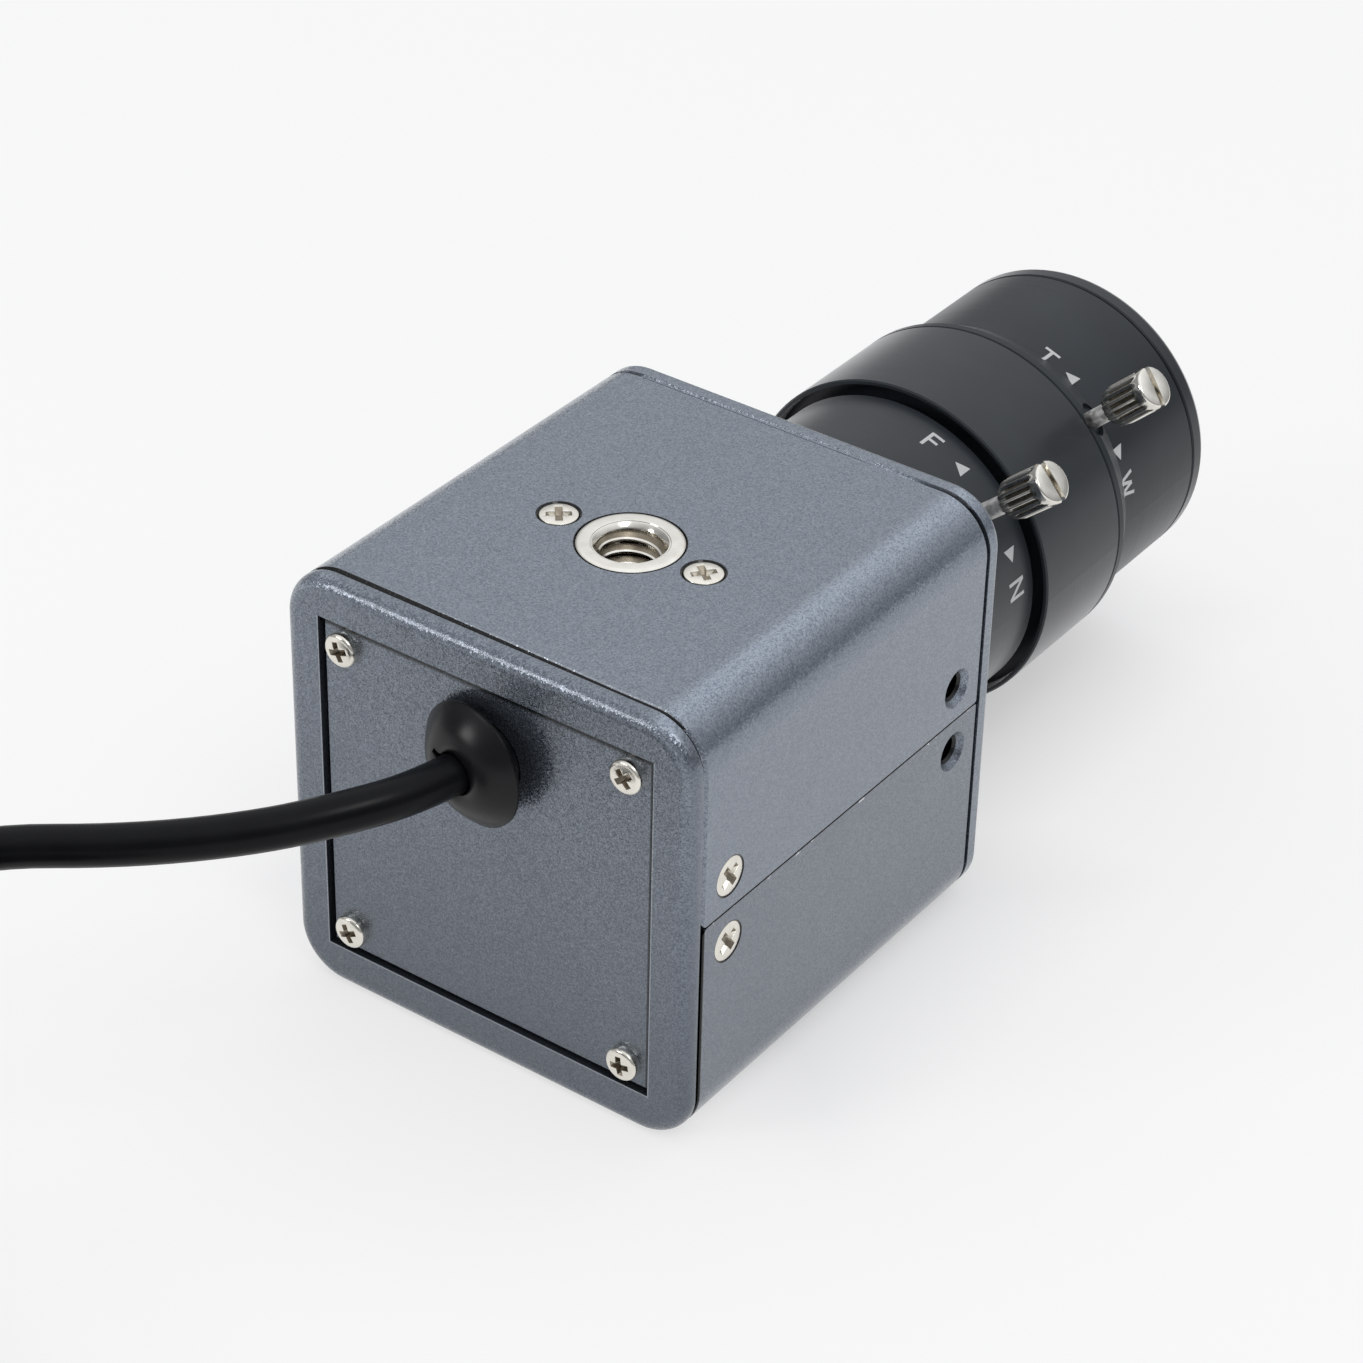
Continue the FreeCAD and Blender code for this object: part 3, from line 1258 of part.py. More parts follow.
def build_plug():
    y = S.coil_y - S.plug_side
    z = S.coil_lift + 3 * S.coil_layer + S.plug_rest_gap + S.plug_grip_height / 2
    start = S.coil_x + S.plug_start
    grip_start = start + S.plug_sleeve_length
    shell_start = grip_start + S.plug_grip_length
    shell_end = shell_start + S.plug_shell_length
    sleeve = taper(
        "plug_sleeve", "+x", S.plug_sleeve_thin, S.plug_sleeve_thick, (start, y, z), S.plug_sleeve_length,
    )
    grip = plate(
        "plug_grip", "YZ_Plane", S.plug_grip_width, S.plug_grip_height, S.plug_grip_round, S.plug_grip_length,
        (grip_start, y, z), ("Fillet", S.plug_grip_bevel, (1, -1)),
    )
    node("usb_grip", fuse("usb_grip", [sleeve, grip]))

    half_wide = S.plug_shell_width / 2
    half_tall = S.plug_shell_height / 2
    inner_wide = half_wide - S.plug_shell_wall
    inner_tall = half_tall - S.plug_shell_wall
    outside = block(
        "plug_shell_outside", (shell_start, shell_end), (y - half_wide, y + half_wide),
        (z - half_tall, z + half_tall),
    )
    inside = block(
        "plug_shell_inside", (shell_start - spare, shell_end + spare), (y - inner_wide, y + inner_wide),
        (z - inner_tall, z + inner_tall),
    )
    windows = []
    window_end = shell_end - S.plug_window_inset
    for i, side in enumerate((-1, 1)):
        middle = y + side * S.plug_window_pitch / 2
        windows.append(block(
            f"plug_window{i}", (window_end - S.plug_window_length, window_end),
            (middle - S.plug_window_width / 2, middle + S.plug_window_width / 2),
            (z - half_tall - spare, z + half_tall + spare),
        ))
    node("usb_shell", cut("usb_shell", outside, [fuse("plug_openings", [inside] + windows)]))

    tongue_top = z + inner_tall - S.plug_tongue_gap
    tongue_low = tongue_top - S.plug_tongue_height
    tongue_end = shell_end - S.plug_tongue_inset
    tongue_wide = inner_wide - S.plug_tongue_gap
    node("usb_tongue", block(
        "usb_tongue", (shell_start, tongue_end), (y - tongue_wide, y + tongue_wide), (tongue_low, tongue_top),
    ))
    contacts = []
    for i in range(4):
        side = y + (i - 1.5) * S.contact_pitch
        contacts.append(block(
            f"contact{i}", (tongue_end - S.contact_length, tongue_end - S.plug_tongue_inset),
            (side - S.contact_width / 2, side + S.contact_width / 2),
            (tongue_low - S.contact_height, tongue_low),
        ))
    node("usb_contacts", group("usb_contacts", contacts))


build_shells()
build_rear_frame()
build_front_frame()
build_screws()
build_rear_panel()
build_tripod_nut()
build_grommet()
build_inner_cable()
build_mount()
build_board()
build_fixed_tubes()
build_rings()
lock_screw("focus_lock_screw", S.focus_lock_angle, focus_lock_place, focus_ring_radius + S.focus_lock_stand)
lock_screw("zoom_lock_screw", S.zoom_lock_angle, zoom_lock_place, barrel_radius + S.zoom_lock_stand)
build_groups()
build_coil()
build_plug()
node("cable_lead", cable_tube("cable_lead", LEAD_ROUTE))
node("cable_tail", cable_tube("cable_tail", TAIL_ROUTE))

doc.recompute()

# Every object is sound before anything is written.
for thing in doc.Objects:
    if "Invalid" in thing.State or "Error" in thing.State:
        raise RuntimeError(f"{thing.Name} did not build: {thing.State}")
for name, thing in nodes.items():
    if thing.Shape.isNull() or not thing.Shape.isValid():
        raise RuntimeError(f"{name} has no valid shape")

os.makedirs("parts", exist_ok=True)
for name, thing in nodes.items():
    thing.Shape.exportStep(f"parts/{name}.step")
print(len(nodes), "pieces")
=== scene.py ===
"""Studio picture of a small box camera with a varifocal lens, seen from above and behind."""

import json
import math

import bmesh
import bpy
from mathutils import Matrix, Vector


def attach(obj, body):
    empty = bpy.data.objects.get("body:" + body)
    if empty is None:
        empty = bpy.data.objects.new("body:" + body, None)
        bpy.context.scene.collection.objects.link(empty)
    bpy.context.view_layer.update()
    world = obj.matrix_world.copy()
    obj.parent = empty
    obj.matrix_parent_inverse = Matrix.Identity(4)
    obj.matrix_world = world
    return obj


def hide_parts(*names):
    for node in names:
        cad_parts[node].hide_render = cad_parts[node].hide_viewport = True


MM = 0.001

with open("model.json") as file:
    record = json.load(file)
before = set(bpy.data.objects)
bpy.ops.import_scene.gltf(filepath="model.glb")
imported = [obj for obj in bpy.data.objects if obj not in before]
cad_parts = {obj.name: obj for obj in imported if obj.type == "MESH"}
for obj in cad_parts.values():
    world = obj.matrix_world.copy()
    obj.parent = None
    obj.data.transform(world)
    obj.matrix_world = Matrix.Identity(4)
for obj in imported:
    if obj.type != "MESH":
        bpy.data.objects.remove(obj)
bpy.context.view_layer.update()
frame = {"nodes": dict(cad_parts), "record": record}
NODES = frame["nodes"]


def add_object(name, data):
    """A new object in the scene."""
    thing = bpy.data.objects.new(name, data)
    bpy.context.scene.collection.objects.link(thing)
    return thing


# Camera

VIEW_AZIMUTH = math.radians(35.223)
VIEW_ELEVATION = math.radians(34.219)
VIEW_ROLL = math.radians(1.392)
VIEW_DISTANCE = 357.292 * MM
VIEW_RIGHT = 3.731 * MM
VIEW_UP = 22.601 * MM
FOCAL_PIXELS = 3891.677
IMAGE_PIXELS = 1363.0
SENSOR_WIDTH = 36.0
NEAR_CLIP = 0.01
FAR_CLIP = 20.0


def set_camera():
    """The photograph's view: behind the box, to its right and above it."""
    back = Vector((
        math.sin(VIEW_AZIMUTH) * math.cos(VIEW_ELEVATION),
        -math.cos(VIEW_AZIMUTH) * math.cos(VIEW_ELEVATION),
        math.sin(VIEW_ELEVATION),
    ))
    level = Vector((math.cos(VIEW_AZIMUTH), math.sin(VIEW_AZIMUTH), 0.0))
    upright = back.cross(level)
    right = math.cos(VIEW_ROLL) * level + math.sin(VIEW_ROLL) * upright
    up = math.cos(VIEW_ROLL) * upright - math.sin(VIEW_ROLL) * level
    eye = right * VIEW_RIGHT + up * VIEW_UP + back * VIEW_DISTANCE
    lens = bpy.data.cameras.new("photo_view")
    lens.sensor_width = SENSOR_WIDTH
    lens.lens = FOCAL_PIXELS / IMAGE_PIXELS * SENSOR_WIDTH
    lens.clip_start = NEAR_CLIP
    lens.clip_end = FAR_CLIP
    camera = add_object("photo_view", lens)
    camera.matrix_world = Matrix((
        (right.x, up.x, back.x, eye.x),
        (right.y, up.y, back.y, eye.y),
        (right.z, up.z, back.z, eye.z),
        (0.0, 0.0, 0.0, 1.0),
    ))
    bpy.context.scene.camera = camera


set_camera()

# Materials

MATERIALS = {}


def fill(node, *values, **sockets):
    """Give a node's sockets values or other nodes' outputs, in order or by name, with _ for a space."""
    pairs = list(zip(node.inputs, values))
    pairs += [(node.inputs[name.replace("_", " ")], value) for name, value in sockets.items()]
    for socket, value in pairs:
        if isinstance(value, bpy.types.NodeSocket):
            node.id_data.links.new(value, socket)
        else:
            socket.default_value = (*value, 1.0) if socket.type == "RGBA" else value
    return node


def add_node(tree, kind, *values, **sockets):
    """A new shader node with its sockets filled."""
    return fill(tree.nodes.new("ShaderNode" + kind), *values, **sockets)


def start_material(name, colour, roughness, metallic=0.0, **sockets):
    """A new material's nodes and its main shader."""
    paint = bpy.data.materials.new(name)
    MATERIALS[name] = paint
    paint.use_nodes = True
    shader = paint.node_tree.nodes["Principled BSDF"]
    fill(shader, Base_Color=colour, Roughness=roughness, Metallic=metallic, **sockets)
    return paint.node_tree, shader


def pattern_space(tree, stretch=(1.0, 1.0, 1.0)):
    """The piece's own coordinates in metres, stretched along each axis."""
    source = add_node(tree, "TexCoord").outputs["Object"]
    return add_node(tree, "Mapping", Vector=source, Scale=stretch).outputs["Vector"]


def noise(space, scale, detail=2.0):
    """A cloudy pattern, with its scale in waves per metre."""
    return add_node(space.id_data, "TexNoise", Vector=space, Scale=scale, Detail=detail).outputs["Fac"]


def spread(value, low, high, start=0.3, end=0.7):
    """Map a pattern's values from start and end to low and high."""
    shift = add_node(value.id_data, "MapRange", value, start, end, low, high)
    return shift.outputs["Result"]


def blend(factor, first, second):
    """Mix two colours by a pattern; each is a plain colour or another pattern's output."""
    mix = add_node(factor.id_data, "Mix")
    mix.data_type = "RGBA"
    return fill(mix, Factor=factor, A=first, B=second).outputs["Result"]


def cloud(shader, pattern, first, second):
    """Let a cloudy pattern vary the shader's colour between two."""
    fill(shader, Base_Color=blend(spread(pattern, 0.0, 1.0), first, second))


def emboss(shader, height, strength, distance, **normal):
    """Fine relief from a pattern, on top of another normal where there is one."""
    bump = add_node(shader.id_data, "Bump", Height=height, Strength=strength, **normal)
    fill(bump, Distance=distance)
    fill(shader, Normal=bump.outputs["Normal"])


def arithmetic(kind, operation, first, *others, **sockets):
    """A step of arithmetic on patterns or plain values, the first of them a pattern."""
    step = add_node(first.id_data, kind)
    step.operation = operation
    return fill(step, first, *others, **sockets)


def reckon(operation, total, *others):
    """Arithmetic on patterns and plain numbers, one after the other."""
    for value in others or [0.0]:
        total = arithmetic("Math", operation, total, value).outputs["Value"]
    return total


def all_of(*masks):
    """One where every mask is one."""
    return reckon("MULTIPLY", *masks)


def any_of(*values):
    """The highest of several values."""
    return reckon("MAXIMUM", *values)


def vectors(operation, *values, **sockets):
    """A step of arithmetic on vectors."""
    return arithmetic("VectorMath", operation, *values, **sockets).outputs["Vector"]


def flake_normal(space, size, tilt):
    """Normals that lean a little differently on each metal flake, and the flakes' own values."""
    tree = space.id_data
    cells = add_node(tree, "TexVoronoi", Vector=space, Scale=1.0 / size).outputs["Color"]
    lean = vectors("SCALE", vectors("SUBTRACT", cells, (0.5, 0.5, 0.5)), Scale=tilt)
    total = vectors("ADD", add_node(tree, "NewGeometry").outputs["Normal"], lean)
    return vectors("NORMALIZE", total), add_node(tree, "SeparateColor", Color=cells).outputs["Green"]


def split(vector):
    """The three parts of a vector."""
    return list(add_node(vector.id_data, "SeparateXYZ", vector).outputs)


def unsigned(value):
    """A value without its sign."""
    return reckon("ABSOLUTE", value)


def over(value, limit):
    """One above a limit and zero below it."""
    return reckon("GREATER_THAN", value, limit)


def under(value, limit):
    """One below a limit and zero above it."""
    return reckon("LESS_THAN", value, limit)


def band(value, low, high):
    """One between two values and zero elsewhere."""
    return all_of(over(value, low), under(value, high))


# Places on the case, in millimetres
HALF_WIDTH = 21.5
CASE_TOP = 43.0
SIDE_SCREW_PLACE = -17.28
SIDE_SCREW_HEIGHTS = (26.2, 19.4)
NUT_PLACE = -2.5
NUT_SCREW_SIDE = 7.7

# Seams of the case: heights, and places along the lens axis
PARTING_HEIGHT = 22.8 * MM
PARTING_HALF = 0.11 * MM
CHIP_DEPTH = 0.2 * MM
COVER_END = 20.7 * MM
TOP_STRIP = 20.74 * MM
SEAM_START = 21.09 * MM
SEAM_END = 21.41 * MM
FRONT_SEAM_END = 21.37 * MM
NEAR_TOP = 42.0 * MM
# How far a face turns towards the lens axis, at least, on a bevel and on an end
BEVEL_LEAN = 0.6
END_LEAN = 0.8
# The rear seam's painted shadow on top is wide at the left and thin at the right, below a painted
# highlight on the cover's edge
SHADOW_WIDE = 20.77 * MM
SHADOW_THIN = 20.95 * MM
SHADOW_RUN = (-18.0 * MM, 12.0 * MM)
HIGHLIGHT_EDGE = 0.13 * MM
HIGHLIGHT_EDGE_RUN = (-16.0 * MM, 2.0 * MM)
HIGHLIGHT_EDGE_SHARE = 0.32

# Painted shade round the bush and the screws, in the gaps there, and down the empty holes, in
# millimetres:
# the axis it goes round, its middle and radius, and the depths along the axis between which it lies
AXIS_X = 0
AXIS_Z = 2
SHADED_RINGS = [
    (AXIS_Z, (0.0, NUT_PLACE), 4.93, 42.5, 44.0),
    (AXIS_Z, (NUT_SCREW_SIDE, NUT_PLACE), 2.03, 42.5, 44.0),
    (AXIS_Z, (-NUT_SCREW_SIDE, NUT_PLACE), 2.03, 42.5, 44.0),
]
for level in SIDE_SCREW_HEIGHTS:
    SHADED_RINGS.append((AXIS_X, (SIDE_SCREW_PLACE, level), 1.97, 21.0, 22.0))
    SHADED_RINGS.append((AXIS_X, (-SIDE_SCREW_PLACE, level), 1.6, 15.0, 20.95))


def shaded_rings(spot):
    """One on the rings of painted shade and zero elsewhere."""
    found = []
    for axis, middle, radius, low, high in SHADED_RINGS:
        others = [spot[i] for i in range(3) if i != axis]
        square = 0.0
        for value, start in zip(others, middle):
            away = reckon("SUBTRACT", value, start * MM)
            square = reckon("ADD", reckon("MULTIPLY", away, away), square)
        inside = under(square, (radius * MM) ** 2)
        depth = band(unsigned(spot[axis]), low * MM, high * MM)
        found.append(all_of(inside, depth))
    return any_of(*found)


def rear_seam(spot):
    """Where the rear seam's painted shadow starts on top, and the painted highlight on the cover's edge
    above it.
    """
    x, y, z = spot
    start = spread(x, SHADOW_WIDE, SHADOW_THIN, *SHADOW_RUN)
    strip = band(reckon("ADD", start, y), 0.0, HIGHLIGHT_EDGE)
    highlight = spread(x, 0.0, HIGHLIGHT_EDGE_SHARE, *HIGHLIGHT_EDGE_RUN)
    return start, all_of(strip, over(z, NEAR_TOP), highlight)


def seams(spot, facing, rise, shadow_start):
    """Painted shade in the gaps between the covers and the frames, on the covers' rear ends and on their
    parting line.
    """
    _, y, z = spot
    along = unsigned(y)
    lean = unsigned(facing[1])
    rear = under(y, 0.0)
    rear_end = all_of(rear, band(along, COVER_END, SEAM_END))
    face = all_of(rear_end, over(lean, END_LEAN))
    shadow = all_of(over(z, NEAR_TOP), over(along, shadow_start))
    strip = any_of(band(lean, BEVEL_LEAN, END_LEAN), band(along, TOP_STRIP, SEAM_START))
    bevel = all_of(rear_end, strip, any_of(under(rise, 0.0), shadow))
    shaded = any_of(rear, under(z, NEAR_TOP))
    gap = all_of(shaded, band(along, SEAM_START, FRONT_SEAM_END))
    on_cover = under(along, SEAM_START)
    parting = all_of(on_cover, band(rise, -PARTING_HALF, PARTING_HALF))
    return any_of(face, bevel, gap, parting)


# The rear panel, with a painted shadow under the window's lip that starts and is full this far inside
# its top and right edges
PANEL_TOP = 38.85 * MM
PANEL_RIGHT = 17.3 * MM
PANEL_REACH = 22.7 * MM
PANEL_SLACK = 0.01 * MM
PANEL_SHADOW_TOP = (0.55 * MM, 0.2 * MM)
PANEL_SHADOW_RIGHT = (0.22 * MM, 0.14 * MM)
PANEL_SHADOW_RIGHT_SHARE = 0.9
# The window round the panel, with a painted highlight on its lip
WINDOW_HALF_WIDTH = 17.6 * MM
WINDOW_HALF_HEIGHT = 17.4 * MM
WINDOW_MIDDLE = 21.75 * MM
WINDOW_LIP = (-0.02 * MM, 0.12 * MM)
FRAME_FACE = 22.9 * MM


def window_edges(spot):
    """Painted shadow on the panel's edges under the window's lip, and a painted highlight on the lip's
    sides and foot.
    """
    x, y, z = spot
    along = unsigned(y)
    on_panel = all_of(
        under(along, PANEL_REACH), under(z, PANEL_TOP + PANEL_SLACK),
        under(x, PANEL_RIGHT + PANEL_SLACK),
    )
    upper = spread(z, 0.0, 1.0, *[PANEL_TOP - inset for inset in PANEL_SHADOW_TOP])
    right = spread(x, 0.0, PANEL_SHADOW_RIGHT_SHARE, *[PANEL_RIGHT - inset for inset in PANEL_SHADOW_RIGHT])
    panel_shadow = all_of(on_panel, any_of(upper, right))
    beside = reckon("SUBTRACT", unsigned(x), WINDOW_HALF_WIDTH)
    height = reckon("SUBTRACT", z, WINDOW_MIDDLE)
    below = reckon("SUBTRACT", reckon("MULTIPLY", height, -1.0), WINDOW_HALF_HEIGHT)
    lip = band(any_of(beside, below), *WINDOW_LIP)
    in_height = under(height, WINDOW_HALF_HEIGHT)
    return panel_shadow, all_of(lip, in_height, over(along, FRAME_FACE))


FLAKE_DARK = Vector((0.118, 0.141, 0.18))
FLAKE_PALE = Vector((0.295, 0.33, 0.386))
FLAKE_SIZE = 0.12 * MM
FLAKE_TILT = 0.3
# The flakes lie flatter on the sides and the front: how much, and over which range of a face's turn
SIDE_GRAIN = 0.45
SIDE_TURN = (0.6, 0.98)
CHIP_LEVEL = 0.62
# The pale of the chips, which also colours the painted highlights on the seams' edges
CHIP_AND_HIGHLIGHT_TONE = (0.58, 0.6, 0.63)
# A painted highlight on the rounded upper edges: its shade and share, and the turns of the normal where
# it lies
HIGHLIGHT_SHADE = 1.55
HIGHLIGHT_SHARE = 0.6
HIGHLIGHT_FROM = (0.04, 0.2)
HIGHLIGHT_TO = (0.36, 0.66)
HIGHLIGHT_RISE = 0.3
# The painted highlight on the window's lip: its colour and share
LIP_HIGHLIGHT = (0.5, 0.53, 0.58)
LIP_HIGHLIGHT_SHARE = 0.4
# Painted shade: the rear darkens towards its foot
FOOT_SHADE = 0.5
FOOT_SHARE = 0.55
FOOT_RUN = (2.0 * MM, 32.0 * MM)
# Colour of the painted shadow under the window's lip
PANEL_SHADOW = (0.012, 0.014, 0.017)
# Colour of the painted shade in the seams, round the screws and the bush and down the empty holes
GAP_SHADE = (0.008, 0.008, 0.009)


def flakes(value, shade):
    """The paint's colour, from its dark to its pale flakes."""
    return blend(value, tuple(FLAKE_DARK * shade), tuple(FLAKE_PALE * shade))


def edge_highlight(normal):
    """How much highlight is painted where the case's upper edges turn over."""
    x, _, z = split(normal)
    roll = unsigned(x)
    start = spread(roll, 0.0, HIGHLIGHT_SHARE, *HIGHLIGHT_FROM)
    end = spread(roll, 1.0, 0.0, *HIGHLIGHT_TO)
    return all_of(start, end, over(z, HIGHLIGHT_RISE))


def body_paint(name, shade, window=False):
    """Blue-grey metallic paint with fine flakes under a clear coat. Shade is painted dark in the seams
    and round the screws, the paint is chipped below the parting line, and highlights are painted on the
    edges."""
    tree, shader = start_material(
        name, tuple(FLAKE_PALE * shade), 0.3, 0.85, Coat_Weight=0.55, Coat_Roughness=0.14,
    )
    space = pattern_space(tree)
    spot = split(space)
    _, y, z = spot
    surface = add_node(tree, "NewGeometry")
    facing = split(surface.outputs["True Normal"])
    turned = any_of(unsigned(facing[0]), facing[1])
    calm = spread(turned, 1.0, SIDE_GRAIN, *SIDE_TURN)
    tilt = reckon("MULTIPLY", calm, FLAKE_TILT)
    normal, value = flake_normal(space, FLAKE_SIZE, tilt)
    uneven = reckon("MULTIPLY", reckon("SUBTRACT", value, 0.5), calm)
    value = reckon("ADD", uneven, 0.5)
    rise = reckon("SUBTRACT", z, PARTING_HEIGHT)
    on_cover = under(unsigned(y), SEAM_START)
    lip = all_of(on_cover, band(rise, -CHIP_DEPTH - PARTING_HALF, -PARTING_HALF))
    chips = all_of(lip, over(noise(space, 900.0, 3.0), CHIP_LEVEL))
    # A painted highlight on the front frame's lip at the top
    front_lip_highlight = band(y, FRONT_SEAM_END, SEAM_END)
    front_lip_highlight = all_of(front_lip_highlight, under(facing[1], -BEVEL_LEAN), over(z, NEAR_TOP))
    # Painted shadow along the rear seam on top, and a painted highlight on the cover's edge above it
    shadow_start, rear_edge_highlight = rear_seam(spot)
    chips_and_highlights = any_of(chips, front_lip_highlight, rear_edge_highlight)
    colour = blend(chips_and_highlights, flakes(value, shade), CHIP_AND_HIGHLIGHT_TONE)
    # A painted highlight where the upper edges turn over
    lit_edges = edge_highlight(surface.outputs["Normal"])
    colour = blend(lit_edges, colour, flakes(value, HIGHLIGHT_SHADE))
    if window:
        # Painted shadow under the window's lip and a painted highlight on the lip
        panel_shadow, highlight = window_edges(spot)
        # Painted shade towards the rear's foot
        foot = spread(z, FOOT_SHARE, 0.0, *FOOT_RUN)
        colour = blend(foot, colour, tuple(FLAKE_DARK * FOOT_SHADE))
        colour = blend(reckon("MULTIPLY", highlight, LIP_HIGHLIGHT_SHARE), colour, LIP_HIGHLIGHT)
        colour = blend(panel_shadow, colour, PANEL_SHADOW)
    # Painted shade in the seams, round the screws and the bush and down the empty holes
    painted_shade = any_of(seams(spot, facing, rise, shadow_start), shaded_rings(spot))
    fill(shader, Base_Color=blend(painted_shade, colour, GAP_SHADE))
    fill(shader, Roughness=spread(noise(space, 120.0), 0.27, 0.34))
    emboss(shader, noise(space, 1700.0), 0.06, 0.1 * MM, Normal=normal)


def bright_metal(name, first, second, roughness):
    """Polished plating with faint cloudy wear."""
    tree, shader = start_material(name, first, roughness, 1.0)
    space = pattern_space(tree)
    cloud(shader, noise(space, 700.0, 4.0), first, second)
    fill(shader, Roughness=spread(noise(space, 1500.0, 3.0), roughness * 0.7, roughness * 1.4))
    emboss(shader, noise(space, 2600.0, 3.0), 0.04, 0.05 * MM)


def soft_black(name, colour, roughness, grain, strength, gloss=0.5):
    """Black rubber or cable sheath with a fine skin."""
    tree, shader = start_material(name, colour, roughness, Specular_IOR_Level=gloss)
    space = pattern_space(tree)
    lighter = [channel * 1.5 + 0.002 for channel in colour]
    cloud(shader, noise(space, 160.0, 4.0), colour, lighter)
    fill(shader, Roughness=spread(noise(space, 300.0, 4.0), roughness * 0.88, roughness * 1.14))
    emboss(shader, noise(space, grain), strength, 0.05 * MM)


def lens_black(name, gloss, bloom):
    """Black anodised metal with fine turning lines round the lens axis and a pale bloom at its limbs."""
    tree, shader = start_material(
        name, (0.018, 0.022, 0.027), 0.3,
        Specular_IOR_Level=gloss, Sheen_Weight=bloom, Sheen_Roughness=0.3,
    )
    lines = noise(pattern_space(tree, (120.0, 7000.0, 120.0)), 1.0, 3.0)
    patches = noise(pattern_space(tree), 140.0, 3.0)
    cloud(shader, patches, (0.015, 0.0185, 0.0235), (0.021, 0.026, 0.032))
    fill(shader, Roughness=spread(lines, 0.28, 0.36))
    emboss(shader, lines, 0.08, 0.03 * MM)


def clear_glass(name, colour, film):
    """Coated glass: clear, with a thin coloured film on its faces."""
    tree, shader = start_material(
        name, colour, 0.02, Transmission_Weight=1.0, IOR=1.6,
        Thin_Film_Thickness=film, Thin_Film_IOR=1.38,
    )
    fill(shader, Roughness=spread(noise(pattern_space(tree), 90.0, 3.0), 0.01, 0.035))


def circuit_board():
    """Green solder mask with copper lines just visible under it."""
    tree, shader = start_material("board_green", (0.01, 0.11, 0.045), 0.35)
    bricks = add_node(tree, "TexBrick", Vector=pattern_space(tree), Scale=420.0, Mortar_Size=0.03)
    lines = bricks.outputs["Fac"]
    fill(shader, Base_Color=blend(lines, (0.008, 0.1, 0.04), (0.03, 0.2, 0.08)))
    emboss(shader, lines, 0.15, 0.03 * MM)


def moulded(name, colour, roughness):
    """Moulded plastic with a fine matt grain."""
    tree, shader = start_material(name, colour, roughness)
    space = pattern_space(tree)
    darker = [channel * 0.86 for channel in colour]
    cloud(shader, noise(space, 200.0, 3.0), darker, colour)
    fill(shader, Roughness=spread(noise(space, 500.0), roughness * 0.9, roughness * 1.1))
    emboss(shader, noise(space, 1800.0), 0.06, 0.05 * MM)


body_paint("body_paint", 0.98)
# Darker copies of the paint as painted shade, on the lower cover and on the rear frame and panel
body_paint("shaded_lower_paint", 0.78)
body_paint("shaded_rear_paint", 0.8, window=True)
bright_metal("bright_screws", (0.86, 0.83, 0.76), (0.76, 0.73, 0.66), 0.24)
# A darker plating for the screws' recesses, as painted shade
bright_metal("recess", (0.4, 0.35, 0.28), (0.22, 0.19, 0.15), 0.3)
bright_metal("nickel", (0.86, 0.84, 0.79), (0.74, 0.71, 0.65), 0.16)
# A darker plating in the lock screws' slots and flutes and in the bush thread's grooves, as painted
# shade
bright_metal("shaded_valley", (0.3, 0.26, 0.2), (0.2, 0.17, 0.13), 0.3)
soft_black("black_rubber", (0.0025, 0.0027, 0.0035), 0.3, 1500.0, 0.05, 0.25)
soft_black("cable_black", (0.0015, 0.0018, 0.0026), 0.3, 900.0, 0.05, 0.14)
soft_black("tie_black", (0.014, 0.014, 0.015), 0.55, 2600.0, 0.3)
# A paler, rougher plating for the lock screws' shafts, as painted light
bright_metal("lit_shaft_steel", (0.97, 0.96, 0.93), (0.9, 0.89, 0.86), 0.5)
bright_metal("mount_metal", (0.62, 0.62, 0.61), (0.5, 0.5, 0.5), 0.3)
lens_black("lens_black", 0.36, 0.7)
lens_black("zoom_black", 0.28, 0.04)
clear_glass("lens_glass", (0.93, 0.97, 0.98), 330.0)
clear_glass("filter_glass", (0.75, 0.92, 0.95), 420.0)
bright_metal("pin_steel", (0.56, 0.56, 0.57), (0.45, 0.45, 0.46), 0.25)
circuit_board()
moulded("chip_black", (0.018, 0.018, 0.02), 0.5)
bright_metal("crystal_can", (0.66, 0.65, 0.6), (0.55, 0.54, 0.5), 0.3)
moulded("socket_white", (0.75, 0.73, 0.66), 0.45)
moulded("wire_jacket", (0.35, 0.02, 0.02), 0.4)
soft_black("plug_black", (0.014, 0.014, 0.015), 0.48, 1700.0, 0.18)
bright_metal("plug_steel", (0.68, 0.67, 0.65), (0.65, 0.64, 0.62), 0.24)
bright_metal("contact_gold", (0.8, 0.58, 0.22), (0.68, 0.47, 0.16), 0.22)
moulded("mark_ink", (0.6, 0.61, 0.61), 0.5)


def dress(node, paint):
    """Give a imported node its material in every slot."""
    slots = node.data.materials
    if not slots:
        slots.append(paint)
    for i in range(len(slots)):
        slots[i] = paint


# Pieces given darker copies of their slot's paint as painted shade, and the zoom ring a duller black
SHADED_NODES = {
    "lower_cover": "shaded_lower_paint",
    "rear_frame": "shaded_rear_paint",
    "rear_panel": "shaded_rear_paint",
    "zoom_ring": "zoom_black",
}

for part in frame["record"]["subparts"]:
    dress(NODES[part["node"]], MATERIALS[SHADED_NODES.get(part["node"], part["material_slot"])])

# Mesh helpers: shapes are made in millimetres about their own Z axis, then put in place

AXIS_POINT = 0.001
EDGE_STEPS = 4
FLUTE_POWER = 0.8
BACKWARD = (0.0, -1.0, 0.0)
UPWARD = (0.0, 0.0, 1.0)


